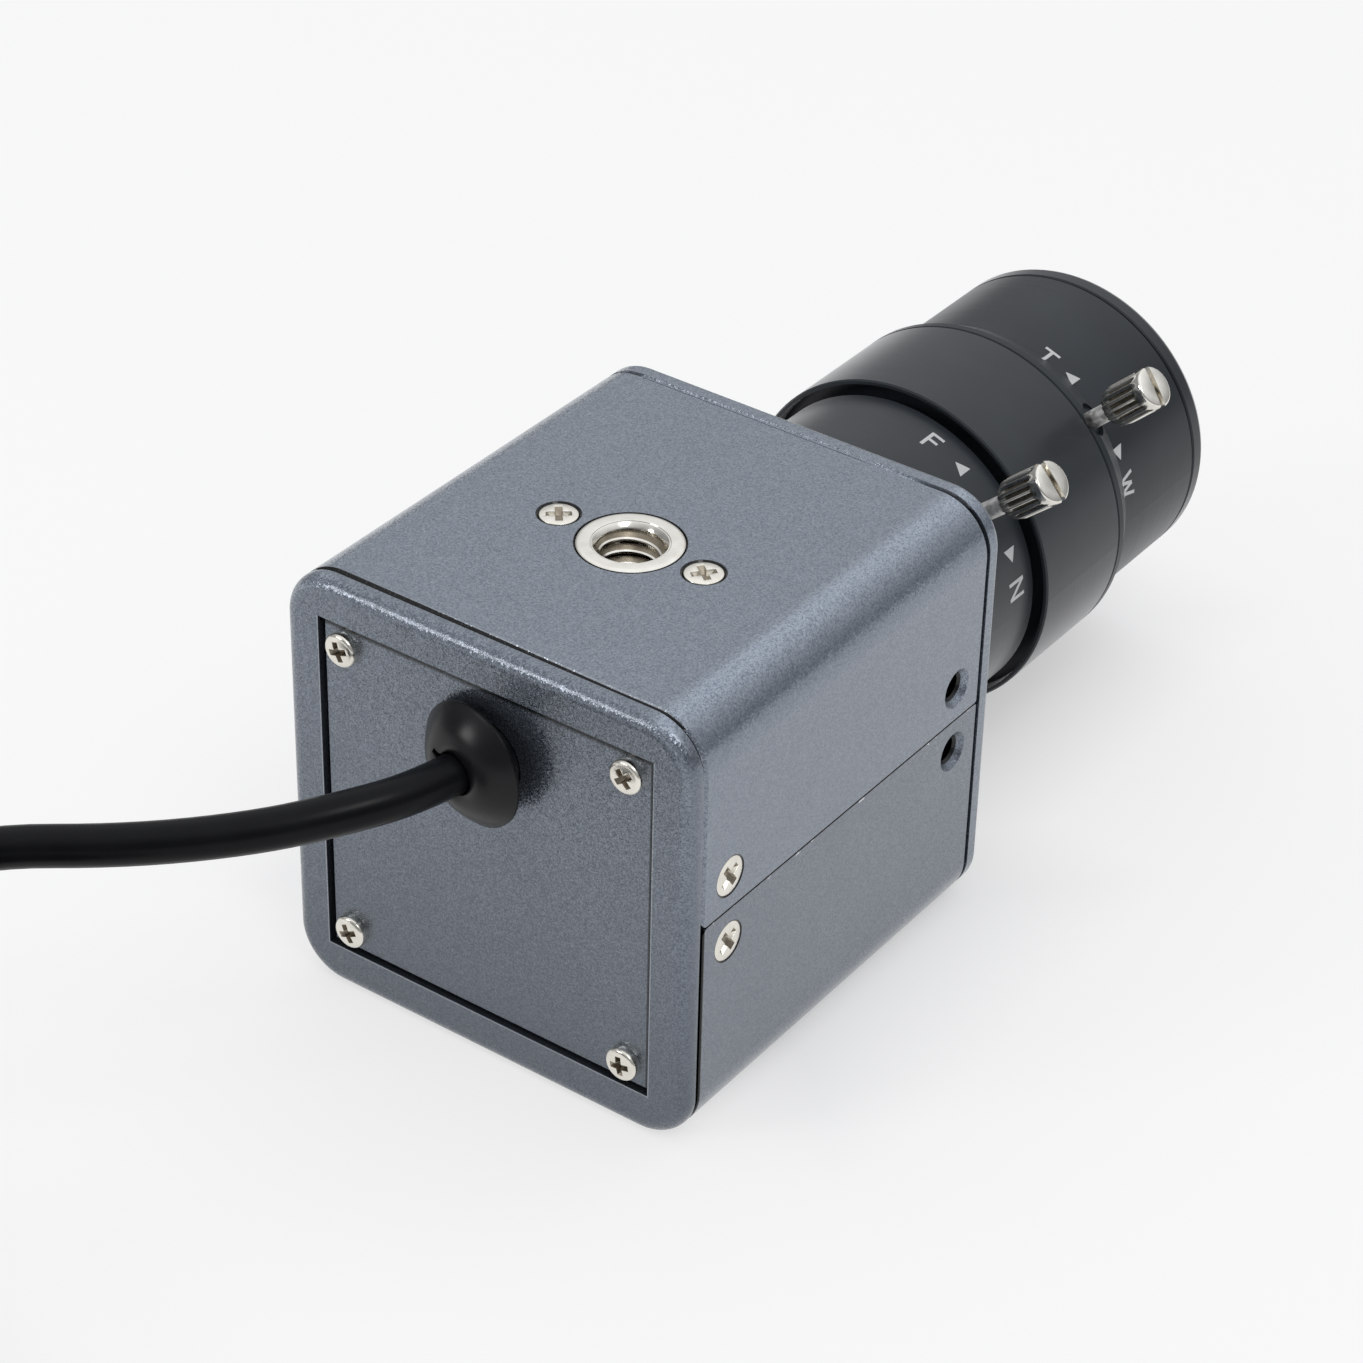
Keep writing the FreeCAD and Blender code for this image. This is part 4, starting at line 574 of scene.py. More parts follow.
def skin(name, rows, loop=False):
    """A tube through rings of points with the same count, from the top ring down, closed at its ends."""
    count = len(rows[0])
    points = [point for row in rows for point in row]
    pairs = [(i, i + 1) for i in range(len(rows) - 1)]
    if loop:
        pairs.append((len(rows) - 1, 0))
    faces = []
    for i, after in pairs:
        for j in range(count):
            k = (j + 1) % count
            faces.append((i * count + j, after * count + j, after * count + k, i * count + k))
    if not loop:
        last = (len(rows) - 1) * count
        faces.append(tuple(range(count)))
        faces.append(tuple(last + j for j in reversed(range(count))))
    mesh = bpy.data.meshes.new(name)
    mesh.from_pydata(points, [], faces)
    mesh.update()
    return add_object(name, mesh)


def prism(name, corners, top, bottom):
    """An upright block with the given corners."""
    return skin(name, [[(x, y, height) for x, y in corners] for height in (top, bottom)])


def ring(radius, height, steps, depth=0.0, flutes=0):
    """A ring of points, with a row of rounded grooves and narrow ridges where a depth is given."""
    points = []
    for i in range(steps):
        turn = 2.0 * math.pi * i / steps
        groove = 0.5 + 0.5 * math.cos(flutes * turn)
        reach = radius - depth * groove ** FLUTE_POWER
        points.append((reach * math.cos(turn), reach * math.sin(turn), height))
    return points


def rounded_section(half_height, half_width, power, level, steps=64):
    """A ring between a circle and a rectangle, squarer with a higher power."""
    points = []
    for i in range(steps):
        turn = 2.0 * math.pi * i / steps
        c = math.cos(turn)
        s = math.sin(turn)
        points.append((
            half_height * math.copysign(abs(c) ** (2.0 / power), c),
            half_width * math.copysign(abs(s) ** (2.0 / power), s),
            level,
        ))
    return points


def rounded_edge(radius, height, bend, start):
    """A rounded edge as (radius, height) points, from an angle in degrees down to its widest."""
    points = []
    for step in range(EDGE_STEPS + 1):
        turn = math.radians(start * (1.0 - step / EDGE_STEPS))
        points.append((radius - bend + bend * math.cos(turn), height + bend * math.sin(turn)))
    return points


def lathe(name, outline, steps=64, loop=False):
    """A turned solid from (radius, height) points, from its top down, or a ring whose outline closes."""
    rows = [ring(max(radius, AXIS_POINT), height, steps) for radius, height in outline]
    return skin(name, rows, loop)


def settle(thing):
    """Make a piece's modifiers part of its mesh."""
    shape = bpy.data.meshes.new_from_object(thing.evaluated_get(bpy.context.evaluated_depsgraph_get()))
    thing.modifiers.clear()
    old = thing.data
    thing.data = shape
    bpy.data.meshes.remove(old)


def carve(thing, cutter):
    """Cut a piece with another, which is used up."""
    change = thing.modifiers.new("carve", "BOOLEAN")
    change.operation = "DIFFERENCE"
    change.solver = "EXACT"
    change.object = cutter
    settle(thing)
    bpy.data.objects.remove(cutter)


def soften(thing, width, angle=35.0):
    """Round the sharp edges a little."""
    change = thing.modifiers.new("soften", "BEVEL")
    change.width = width
    change.segments = 2
    change.limit_method = "ANGLE"
    change.angle_limit = math.radians(angle)
    settle(thing)


def place(thing, origin, axis, spin=0.0):
    """Bring a shape from millimetres about Z to its place in the frame, turned by degrees."""
    turn = Vector(UPWARD).rotation_difference(Vector(axis)).to_matrix().to_4x4()
    move = Matrix.Scale(MM, 4) @ Matrix.Translation(origin) @ turn
    thing.data.transform(move @ Matrix.Rotation(math.radians(spin), 4, "Z"))
    return thing


def joined(name, things):
    """One piece from several."""
    whole = bmesh.new()
    for thing in things:
        whole.from_mesh(thing.data)
        bpy.data.objects.remove(thing)
    mesh = bpy.data.meshes.new(name)
    whole.to_mesh(mesh)
    whole.free()
    return add_object(name, mesh)


def off_axis(face):
    """How far a face lies from the Z axis."""
    return math.hypot(face.center.x, face.center.y)


def finish_faces(thing, index, chosen):
    """Give the chosen faces another of the piece's materials."""
    for face in thing.data.polygons:
        if chosen(face):
            face.material_index = index


def hand_in(thing, body, slot, *nodes, sharp=38.0, finishes=None):
    """Shade a piece, give it its materials and let it ride on a body."""
    thing.data.shade_smooth()
    thing.data.set_sharp_from_angle(angle=math.radians(sharp))
    for finish in finishes or [slot]:
        thing.data.materials.append(MATERIALS[finish])
    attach(thing, body)
    if nodes:
        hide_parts(*nodes)
    return thing


# Cable

CABLE_RADIUS = 1.85

LEAD_ROUTE = [
    (-0.26, -24.09, 31.85),
    (-1.23, -29.61, 31.85),
    (-4.3, -35.0, 31.5),
    (-9.4, -40.7, 30.4),
    (-17.9, -47.3, 29.1),
    (-28.2, -53.4, 28.1),
    (-37.0, -61.0, 25.0),
    (-43.4, -69.6, 19.2),
    (-47.5, -78.3, 11.6),
    (-49.0, -86.7, 5.6),
    (-49.1, -94.6, 2.9),
    (-48.6, -102.0, 2.7),
]
TAIL_ROUTE = [
    (-44.85, -100.04, 10.2),
    (-44.85, -109.96, 10.5),
    (-39.89, -118.54, 12.4),
    (-31.31, -123.5, 15.2),
    (-21.6, -123.5, 15.9),
]

COIL_CENTRE = (-21.0, -105.0)
COIL_COLUMNS = (27.55, 23.85, 20.15, 16.45)
COIL_LAYERS = (2.675, 6.425, 10.175)
COIL_STEP = 15
COIL_START = 187
COIL_END = 3390
# Angles between which the winding steps to the next column or layer, and which one that is
COLUMN_STEPS = [
    (470, 510, 1),
    (830, 870, 2),
    (1190, 1230, 3),
    (1830, 1870, 2),
    (2190, 2230, 1),
    (2550, 2590, 0),
    (3190, 3230, 1),
]
LAYER_STEPS = [(1490, 1550, 1), (2850, 2910, 2)]


def stepped(angle, values, steps):
    """The value that holds at an angle of the winding, easing from one to the next in each step."""
    value = values[0]
    for start, end, index in steps:
        share = min(max((angle - start) / (end - start), 0.0), 1.0)
        ease = share * share * (3.0 - 2.0 * share)
        value += (values[index] - value) * ease
    return value


def coil_points():
    """The tied coil: four columns of turns, two layers and a turn on top; the points lie outside the
    smooth curve."""
    shrink = 0.75 + 0.25 * math.cos(math.radians(COIL_STEP))
    points = []
    for angle in range(COIL_START, COIL_END + 1, COIL_STEP):
        radius = stepped(angle, COIL_COLUMNS, COLUMN_STEPS) / shrink
        height = stepped(angle, COIL_LAYERS, LAYER_STEPS)
        turn = math.radians(angle)
        points.append((
            COIL_CENTRE[0] + radius * math.cos(turn),
            COIL_CENTRE[1] + radius * math.sin(turn),
            height,
        ))
    return points


def build_cable():
    """One cable from the grommet to the plug."""
    route = LEAD_ROUTE + coil_points() + TAIL_ROUTE
    curve = bpy.data.curves.new("usb_cable", "CURVE")
    curve.dimensions = "3D"
    curve.resolution_u = 6
    curve.bevel_depth = CABLE_RADIUS * MM
    curve.bevel_resolution = 7
    curve.use_fill_caps = True
    spline = curve.splines.new("NURBS")
    spline.points.add(len(route) - 1)
    for point, spot in zip(spline.points, route):
        point.co = (*(Vector(spot) * MM), 1.0)
    spline.order_u = 3
    spline.use_endpoint_u = True
    cable = add_object("usb_cable", curve)
    curve.materials.append(MATERIALS["cable_black"])
    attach(cable, "camera")
    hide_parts("cable_lead", "cable_coil", "cable_tail")
    return cable


# Paint that bridges the seam along the front of the top

BRIDGE_TOP = 42.93
BRIDGE_DEPTH = 1.0
BRIDGE_START = 21.0
BRIDGE_END = 21.45
BRIDGE_RUN = ((-18.0, 0.9), (-16.0, 0.0), (8.0, 0.0), (13.0, 0.12), (16.0, 0.9))


def build_seam_bridge():
    """The front seam is bridged on top, and opens towards the right-hand corner."""
    rows = []
    for side, sink in BRIDGE_RUN:
        top = BRIDGE_TOP - sink
        rows.append([
            (side, BRIDGE_START, top), (side, BRIDGE_END, top),
            (side, BRIDGE_END, top - BRIDGE_DEPTH), (side, BRIDGE_START, top - BRIDGE_DEPTH),
        ])
    bridge = skin("seam_bridge", rows)
    bridge.data.transform(Matrix.Scale(MM, 4))
    hand_in(bridge, "camera", "body_paint")


# Screws

# A cross recess: how far its cutter stands out, its foot's shares of its reach and width, its bright rim
RECESS_ABOVE = 0.3
RECESS_FOOT_REACH = 0.5
RECESS_FOOT_WIDTH = 0.75
RECESS_RIM = 0.14
FINE_EDGE = 0.05
FINISH_SLACK = 0.05


def cross_recess(reach, half_width, depth):
    """A cutter for a cross recess that narrows downward."""
    rows = []
    for height, share, width in (
        (RECESS_ABOVE, 1.0, 1.0), (0.0, 1.0, 1.0), (-depth, RECESS_FOOT_REACH, RECESS_FOOT_WIDTH),
    ):
        a = reach * share
        b = half_width * width
        corners = [(b, a), (-b, a), (-b, b)]
        row = []
        for _ in range(4):
            row += [(x, y, height) for x, y in corners]
            corners = [(-y, x) for x, y in corners]
        rows.append(row)
    return skin("recess", rows)


def cross_screw(name, outline, top, reach, half_width, depth):
    """A turned screw with a cross recess in its head, with shade painted inside it."""
    screw = lathe(name, outline)
    cutter = cross_recess(reach, half_width, depth)
    cutter.data.transform(Matrix.Translation((0.0, 0.0, top)))
    carve(screw, cutter)
    soften(screw, FINE_EDGE)

    # Painted shade inside the recess
    def painted_shade(face):
        fall = top - face.center.z
        return RECESS_RIM < fall < depth + FINISH_SLACK and off_axis(face) < reach

    finish_faces(screw, 1, painted_shade)
    return screw


PAN_RADIUS = 1.6
PAN_HEIGHT = 1.0
PAN_CROWN = 0.2
PAN_EDGE = 0.35
PAN_EDGE_HEIGHT = 0.52
PAN_EDGE_START = 70.0
PAN_SHANK = 0.8
PAN_LENGTH = 3.6


def pan_screw(name):
    """A pan-head screw with its seat at zero."""
    crown = (0.0, 0.3, 0.55, 0.75)
    outline = [(PAN_RADIUS * share, PAN_HEIGHT - PAN_CROWN * share ** 2) for share in crown]
    outline += rounded_edge(PAN_RADIUS, PAN_EDGE_HEIGHT, PAN_EDGE, PAN_EDGE_START)
    outline += [(PAN_RADIUS, 0.0), (PAN_SHANK, 0.0), (PAN_SHANK, -PAN_LENGTH), (0.0, -PAN_LENGTH)]
    return cross_screw(name, outline, PAN_HEIGHT, reach=1.0, half_width=0.29, depth=0.7)


def flat_screw(name, radius, height, shank, length):
    """A countersunk screw with its top at zero."""
    outline = [
        (0.0, 0.0), (radius * 0.6, -0.01), (radius - 0.14, -0.03), (radius - 0.04, -0.07),
        (radius, -0.15), (shank, -height), (shank, -length), (0.0, -length),
    ]
    return cross_screw(name, outline, 0.0, reach=radius * 0.66, half_width=radius * 0.19, depth=0.6)


PANEL_FACE = -22.65
PANEL_SCREW_SIDE = 15.0
PANEL_SCREW_HEIGHTS = (6.75, 36.75)
# How each screw is turned, by its side and its height
PANEL_SCREW_SPINS = {(-1, 1): 20.0, (1, 1): 38.0, (-1, 0): 25.0, (1, 0): 9.0}
SIDE_SCREW_SPINS = {(1, 0): 35.0, (1, 1): 36.0, (-1, 0): 25.0, (-1, 1): 70.0}
NUT_SCREW_SPINS = {-1: 39.0, 1: 52.0}


def hand_in_screws(name, node, screws):
    """One piece from a set of bright screws with shade painted in their recesses."""
    finishes = ["bright_screws", "recess"]
    hand_in(joined(name, screws), "camera", "bright_screws", node, finishes=finishes)


def build_screws():
    """The screws of the rear panel, of the covers and beside the tripod bush."""
    panel = []
    for (side, level), spin in PANEL_SCREW_SPINS.items():
        spot = (side * PANEL_SCREW_SIDE, PANEL_FACE, PANEL_SCREW_HEIGHTS[level])
        panel.append(place(pan_screw("panel_screw"), spot, BACKWARD, spin))
    hand_in_screws("rear_panel_screw_set", "rear_panel_screws", panel)

    covers = []
    for (side, level), spin in SIDE_SCREW_SPINS.items():
        spot = (side * HALF_WIDTH, SIDE_SCREW_PLACE, SIDE_SCREW_HEIGHTS[level])
        screw = flat_screw("cover_screw", radius=1.86, height=0.75, shank=1.1, length=4.2)
        covers.append(place(screw, spot, (side, 0.0, 0.0), spin))
    hand_in_screws("cover_screw_set", "cover_screws", covers)

    nut = []
    for side, spin in NUT_SCREW_SPINS.items():
        screw = flat_screw("nut_screw", radius=1.76, height=0.95, shank=0.9, length=3.8)
        nut.append(place(screw, (side * NUT_SCREW_SIDE, NUT_PLACE, CASE_TOP), UPWARD, spin))
    hand_in_screws("tripod_nut_screw_set", "tripod_nut_screws", nut)


# Tripod bush

THREAD_PITCH = 1.27
THREAD_OUTER = 3.2
THREAD_INNER = 2.62
THREAD_FLANK = THREAD_INNER + 0.14
THREAD_BOTTOM = 37.39
THREAD_TOP = 42.0
THREAD_STEPS = 72
# Half of the thread's section, as (radius, distance from its middle)
THREAD_HALF = [(THREAD_OUTER, 0.56), (THREAD_FLANK, 0.17), (THREAD_INNER, 0.06)]
# The turned bush with its rounded flange and the cut first turn at its mouth, as (radius, height)
BUSH_OUTLINE = [
    (5.2, 37.52), (5.2, 40.2), (4.75, 40.2), (4.75, 42.92), (4.73, 42.99), (4.66, 43.05), (4.52, 43.1),
    (4.35, 43.12), (3.52, 43.11), (3.46, 43.08), (3.42, 43.02), (3.36, 43.04), (3.32, 43.03),
    (2.98, 42.7), (2.93, 42.6), (2.94, 42.45), (3.18, 42.15), (3.18, 37.52),
]
BUSH_STEPS = 96
# The plate's half sizes and how square it is
BUSH_PLATE = (10.75, 5.5, 8.0)
PLATE_TOP = 41.4
PLATE_BOTTOM = 39.0
PLATE_BORE = 3.675
PLATE_TAP = 0.9
CUT_PAST = 1.0


def drill(thing, side, radius):
    """Bore a hole through the bush's plate."""
    high = PLATE_TOP + CUT_PAST
    low = PLATE_BOTTOM - CUT_PAST
    rod = lathe("drill", [(0.0, high), (radius, high), (radius, low), (0.0, low)])
    rod.data.transform(Matrix.Translation((side, 0.0, 0.0)))
    carve(thing, rod)


def build_tripod_bush():
    """The bush on its oblong plate, and the thread's ridge wound up its bore."""
    section = [(radius, -rise) for radius, rise in THREAD_HALF] + THREAD_HALF[::-1]
    turns = (THREAD_TOP - THREAD_BOTTOM) / THREAD_PITCH
    rows = []
    for i in range(int(turns * THREAD_STEPS) + 1):
        turn = 2.0 * math.pi * i / THREAD_STEPS
        height = THREAD_BOTTOM + THREAD_PITCH * i / THREAD_STEPS
        rows.append([
            (radius * math.cos(turn), radius * math.sin(turn), height + rise) for radius, rise in section
        ])
    ridge = skin("ridge", rows[::-1])
    # Painted shade on the thread's faces deep in its grooves
    finish_faces(ridge, 1, lambda face: off_axis(face) > THREAD_FLANK)
    plate = skin("plate", [rounded_section(*BUSH_PLATE, height) for height in (PLATE_TOP, PLATE_BOTTOM)])
    drill(plate, 0.0, PLATE_BORE)
    drill(plate, -NUT_SCREW_SIDE, PLATE_TAP)
    drill(plate, NUT_SCREW_SIDE, PLATE_TAP)
    turned = lathe("turned_bush", BUSH_OUTLINE[::-1], BUSH_STEPS, loop=True)
    bush = place(joined("tripod_bush", [ridge, turned, plate]), (0.0, NUT_PLACE, 0.0), UPWARD)
    hand_in(bush, "camera", "nickel", "tripod_nut", sharp=25.0, finishes=["nickel", "shaded_valley"])


# Grommet

GROMMET_PIVOT = (-0.2, -23.75, 31.85)
GROMMET_LEAN = math.radians(10.0)
GROMMET_BORE = CABLE_RADIUS + 0.04
GROMMET_RADIUS = 5.75
GROMMET_RIM = 0.45
GROMMET_HEIGHT = 2.4
GROMMET_CROWN = 2.6
GROMMET_DOME = 1.8
DOME_INSET = 0.1
DOME_STEPS = 18
GROMMET_STEPS = 96
# The rounded mouth of its bore as (way out, way down), and its edge as (radius, height)
GROMMET_MOUTH = [(0.0, 0.4), (0.1, 0.12), (0.35, 0.0)]
GROMMET_EDGE = [(GROMMET_RADIUS, 0.37), (GROMMET_RADIUS, 0.12), (GROMMET_RADIUS - 0.12, 0.0)]
NECK_OUTLINE = [
    (3.9, 0.6), (3.9, -2.6), (5.2, -2.6), (5.2, -3.8), (GROMMET_BORE, -3.8), (GROMMET_BORE, 0.6),
]
SLIT_OUTLINE = [(-0.38, 1.4), (0.38, 1.4), (0.3, 2.75), (-0.3, 2.75)]
SLIT_TOP = GROMMET_HEIGHT + 0.5
SLIT_FOOT = GROMMET_HEIGHT - 0.9
SLIT_TURN = 54.0


def build_grommet():
    """A domed rubber grommet that leans with the cable, on a neck through the panel."""
    outline = [(GROMMET_BORE + out, GROMMET_HEIGHT - down) for out, down in GROMMET_MOUTH]
    for step in range(DOME_STEPS + 1):
        share = step / DOME_STEPS
        outline.append((
            GROMMET_CROWN + (GROMMET_RADIUS - DOME_INSET - GROMMET_CROWN) * share,
            GROMMET_RIM + (GROMMET_HEIGHT - GROMMET_RIM) * (1.0 - share ** GROMMET_DOME),
        ))
    outline += GROMMET_EDGE + [(GROMMET_BORE, 0.0)]
    head = lathe("grommet_head", outline, GROMMET_STEPS, loop=True)
    carve(head, prism("slit", SLIT_OUTLINE, SLIT_TOP, SLIT_FOOT))
    soften(head, FINE_EDGE, angle=50.0)
    axis = (-math.sin(GROMMET_LEAN), -math.cos(GROMMET_LEAN), 0.0)
    place(head, GROMMET_PIVOT, axis, SLIT_TURN)
    neck = place(lathe("grommet_neck", NECK_OUTLINE, loop=True), GROMMET_PIVOT, BACKWARD)
    grommet = joined("rubber_grommet", [head, neck])
    hand_in(grommet, "camera", "black_rubber", "cable_grommet", sharp=40.0)


# Lens

LENS_AXIS = 21.5
FOCUS_RADIUS = 15.65
ZOOM_RADIUS = 15.7
COLLAR_RADIUS = 17.0
FLARE_START = 54.4
FLARE_END = 57.0
LOCK_RADIUS = 2.05
LOCK_HEAD = 6.1
LOCK_EDGE = 0.25
LOCK_EDGE_FALL = 0.3
LOCK_EDGE_START = 80.0
LOCK_COLLAR = 1.05
LOCK_BELL = 1.5
BELL_STEPS = 8
LOCK_SHAFT = 0.9
LOCK_TIP = 13.55
LOCK_CHAMFER = 0.3
LOCK_FACE = 0.02
LOCK_FLUTES = 16
FLUTE_DEPTH = 0.34
FLUTE_STEPS = 10
# How the flutes deepen below the collar, as (way below it, share of their depth)
FLUTE_RUN_IN = ((0.05, 0.1), (0.14, 0.45), (0.3, 0.8), (0.5, 1.0))
# How far into a flute its painted shade starts
FLUTE_SHADE = 0.68
SLOT_HALF = 0.32
SLOT_DEPTH = 0.95
SLOT_RIM = 0.16
SLOT_CORNERS = [(-3.0, -SLOT_HALF), (3.0, -SLOT_HALF), (3.0, SLOT_HALF), (-3.0, SLOT_HALF)]
# Each lock screw's body, angle round the lens, place along it, reach and turn
LOCKS = {
    "focus_lock_screw": ("focus_lock", 40.6, 35.6, 25.4, 0.0),
    "zoom_lock_screw": ("zoom_lock", 43.0, 55.4, 25.0, -13.4),
}


def lock_screw(reach):
    """A fluted thumb screw with a plain collar and a slotted end."""
    start = reach - LOCK_HEAD
    collar = reach - LOCK_COLLAR
    outline = [(0.01, reach, 0.0), (LOCK_RADIUS * 0.6, reach - LOCK_FACE, 0.0)]
    edge = rounded_edge(LOCK_RADIUS, reach - LOCK_EDGE_FALL, LOCK_EDGE, LOCK_EDGE_START)
    outline += [(radius, height, 0.0) for radius, height in edge]
    outline.append((LOCK_RADIUS, collar, 0.0))
    outline += [(LOCK_RADIUS, collar - fall, share) for fall, share in FLUTE_RUN_IN]
    outline.append((LOCK_RADIUS, start + LOCK_BELL + 0.3, 1.0))
    for step in range(BELL_STEPS + 1):
        share = step / BELL_STEPS
        turn = math.radians(90.0 * share)
        radius = LOCK_SHAFT + (LOCK_RADIUS - LOCK_SHAFT) * math.cos(turn)
        outline.append((radius, start + LOCK_BELL * (1.0 - math.sin(turn)), 1.0 - share))
    outline.append((LOCK_SHAFT, start - 0.1, 0.0))
    outline += [(LOCK_SHAFT, LOCK_TIP + LOCK_CHAMFER, 0.0), (LOCK_SHAFT - LOCK_CHAMFER, LOCK_TIP, 0.0)]
    screw = skin("lock_screw", [
        ring(radius, height, LOCK_FLUTES * FLUTE_STEPS, FLUTE_DEPTH * share, LOCK_FLUTES)
        for radius, height, share in outline
    ])
    carve(screw, prism("slot", SLOT_CORNERS, reach + 0.5, reach - SLOT_DEPTH))
    soften(screw, FINE_EDGE, angle=60.0)

    # Painted shade in the slot and deep in the flutes
    def painted_shade(face):
        fall = reach - face.center.z
        if SLOT_RIM < fall < SLOT_DEPTH + FINISH_SLACK and abs(face.center.y) < SLOT_HALF + 0.01:
            return True
        on_flutes = LOCK_COLLAR + 0.2 < fall < LOCK_HEAD - LOCK_BELL - 0.1
        return on_flutes and off_axis(face) < LOCK_RADIUS - FLUTE_SHADE * FLUTE_DEPTH

    finish_faces(screw, 1, painted_shade)
    # The shaft gets the paler plating, as painted light
    finish_faces(screw, 2, lambda face: face.center.z < start + 0.2)
    return screw


def build_locks():
    """The thumb screws that lock the two rings."""
    finishes = ["nickel", "shaded_valley", "lit_shaft_steel"]
    for name, (body, angle, along, reach, spin) in LOCKS.items():
        turn = math.radians(angle)
        axis = (math.cos(turn), 0.0, math.sin(turn))
        screw = place(lock_screw(reach), (0.0, along, LENS_AXIS), axis, spin)
        screw.name = name.replace("screw", "thumb_screw")
        hand_in(screw, body, "nickel", name, sharp=42.0, finishes=finishes)


# Marks on the rings: strokes in a letter's own right and up directions, in shares of its height
LETTERS = {
    "F": [((-0.26, -0.5), (-0.26, 0.5)), ((-0.26, 0.44), (0.3, 0.44)), ((-0.26, 0.02), (0.22, 0.02))],
    "N": [((-0.34, -0.5), (-0.34, 0.5)), ((0.34, -0.5), (0.34, 0.5)), ((-0.34, 0.48), (0.34, -0.48))],
    "T": [((0.0, -0.5), (0.0, 0.5)), ((-0.38, 0.44), (0.38, 0.44))],
    "W": [
        ((-0.48, 0.5), (-0.24, -0.5)), ((-0.24, -0.5), (0.0, 0.4)),
        ((0.0, 0.4), (0.24, -0.5)), ((0.24, -0.5), (0.48, 0.5)),
    ],
}
LETTER_HEIGHT = 2.3
STROKE_WIDTH = 0.34
STRIP_STEPS = 8
MARK_LIFT = 0.015
MARK_DEPTH = 0.1
TRIANGLE_LENGTH = 1.35
TRIANGLE_BASE = 1.7
TRIANGLE_TIP = 0.04
# Each ring's marks: letter with its angle, then the triangle's angle and the way it points
RING_MARKS = {
    "focus_ring": (37.3, [("F", 70.2, 57.3, 1), ("N", 9.4, 22.1, -1)]),
    "zoom_ring": (57.5, [("T", 70.2, 59.1, 1), ("W", 14.8, 27.2, -1)]),
}


def ring_radius(node, along):
    """The ring's outer radius at a place along the lens."""
    if node == "focus_ring":
        return FOCUS_RADIUS
    slope = (COLLAR_RADIUS - ZOOM_RADIUS) / (FLARE_END - FLARE_START)
    return max(ZOOM_RADIUS, COLLAR_RADIUS - slope * max(along - FLARE_START, 0.0))


def on_ring(node, middle, along, right, up, lift):
    """A point of a mark, wrapped round its ring."""
    reach = ring_radius(node, along + up)
    turn = math.radians(middle) - right / reach
    reach += lift
    return (reach * math.cos(turn), along + up, LENS_AXIS + reach * math.sin(turn))


def mark_strip(node, middle, along, start, end, start_width, end_width):
    """A strip of ink between two places of a mark, tapering from one width to another."""
    run = Vector(end) - Vector(start)
    across = Vector((-run.y, run.x)).normalized()
    rows = []
    for i in range(STRIP_STEPS + 1):
        share = i / STRIP_STEPS
        spot = Vector(start) + run * share
        half = across * (start_width + (end_width - start_width) * share) / 2.0
        corners = ((half, MARK_LIFT), (-half, MARK_LIFT), (-half, -MARK_DEPTH), (half, -MARK_DEPTH))
        rows.append([on_ring(node, middle, along, *(spot + side), lift) for side, lift in corners])
    return skin("strip", rows[::-1])


def build_marks():
    """Letters and arrows for near and far on the focus ring, wide and tele on the zoom ring."""
    for node, (along, marks) in RING_MARKS.items():
        strips = []
        for letter, angle, arrow_angle, way in marks:
            for start, end in LETTERS[letter]:
                a = Vector(start) * LETTER_HEIGHT
                b = Vector(end) * LETTER_HEIGHT
                strips.append(mark_strip(node, angle, along, a, b, STROKE_WIDTH, STROKE_WIDTH))
            tip = Vector((-way * TRIANGLE_LENGTH / 2.0, 0.0))
            strips.append(mark_strip(node, arrow_angle, along, -tip, tip, TRIANGLE_BASE, TRIANGLE_TIP))
        piece = joined(node + "_marks", strips)
        piece.data.transform(Matrix.Scale(MM, 4))
        hand_in(piece, node, "socket_white", finishes=["mark_ink"])


# Plug and tie

PLUG_SIDE = -123.5
PLUG_HEIGHT = 15.95
GRIP_END = 7.6
GRIP_START = -12.4
GRIP_HALF_HEIGHT = 3.8
GRIP_HALF_WIDTH = 7.7
GRIP_POWER = 6.0
# The grip's ends, as (half height, half width, power, place along the plug)
GRIP_FRONT = [
    (3.2, 7.1, GRIP_POWER, GRIP_END), (3.55, 7.45, GRIP_POWER, GRIP_END - 0.1),
    (3.75, 7.65, GRIP_POWER, GRIP_END - 0.4),
    (GRIP_HALF_HEIGHT, GRIP_HALF_WIDTH, GRIP_POWER, GRIP_END - 1.0),
    (GRIP_HALF_HEIGHT, GRIP_HALF_WIDTH, GRIP_POWER, GRIP_END - 6.0),
]
GRIP_REAR = [
    (3.78, 7.5, 5.5, -9.6), (3.72, 7.1, 5.0, -10.8), (3.6, 6.3, 4.2, -11.7), (3.45, 5.0, 3.2, -12.2),
    (3.2, 3.9, 2.4, GRIP_START),
]
# A finger groove and a rib of the sleeve, as (way along it, dip), how many there are and how far apart
GROOVE = ((0.0, 0.0), (0.3, 0.22), (0.7, 0.3), (1.1, 0.22), (1.4, 0.0))
GROOVES = 5
GROOVE_START = GRIP_END - 6.4
GROOVE_STEP = 2.0
GROOVE_TOP = 0.3
RIB = ((0.0, 0.35), (0.25, 0.35), (0.35, 0.06), (0.5, 0.0), (1.0, 0.0), (1.15, 0.06), (1.25, 0.35))
RIBS = 6
RIB_START = GRIP_START - 0.2
RIB_STEP = 1.45
RIB_RADIUS = 3.25
RIB_TAPER = 0.13
SLEEVE_END = [(2.2, 2.2, 2.0, -21.35), (1.95, 1.95, 2.0, -21.4)]


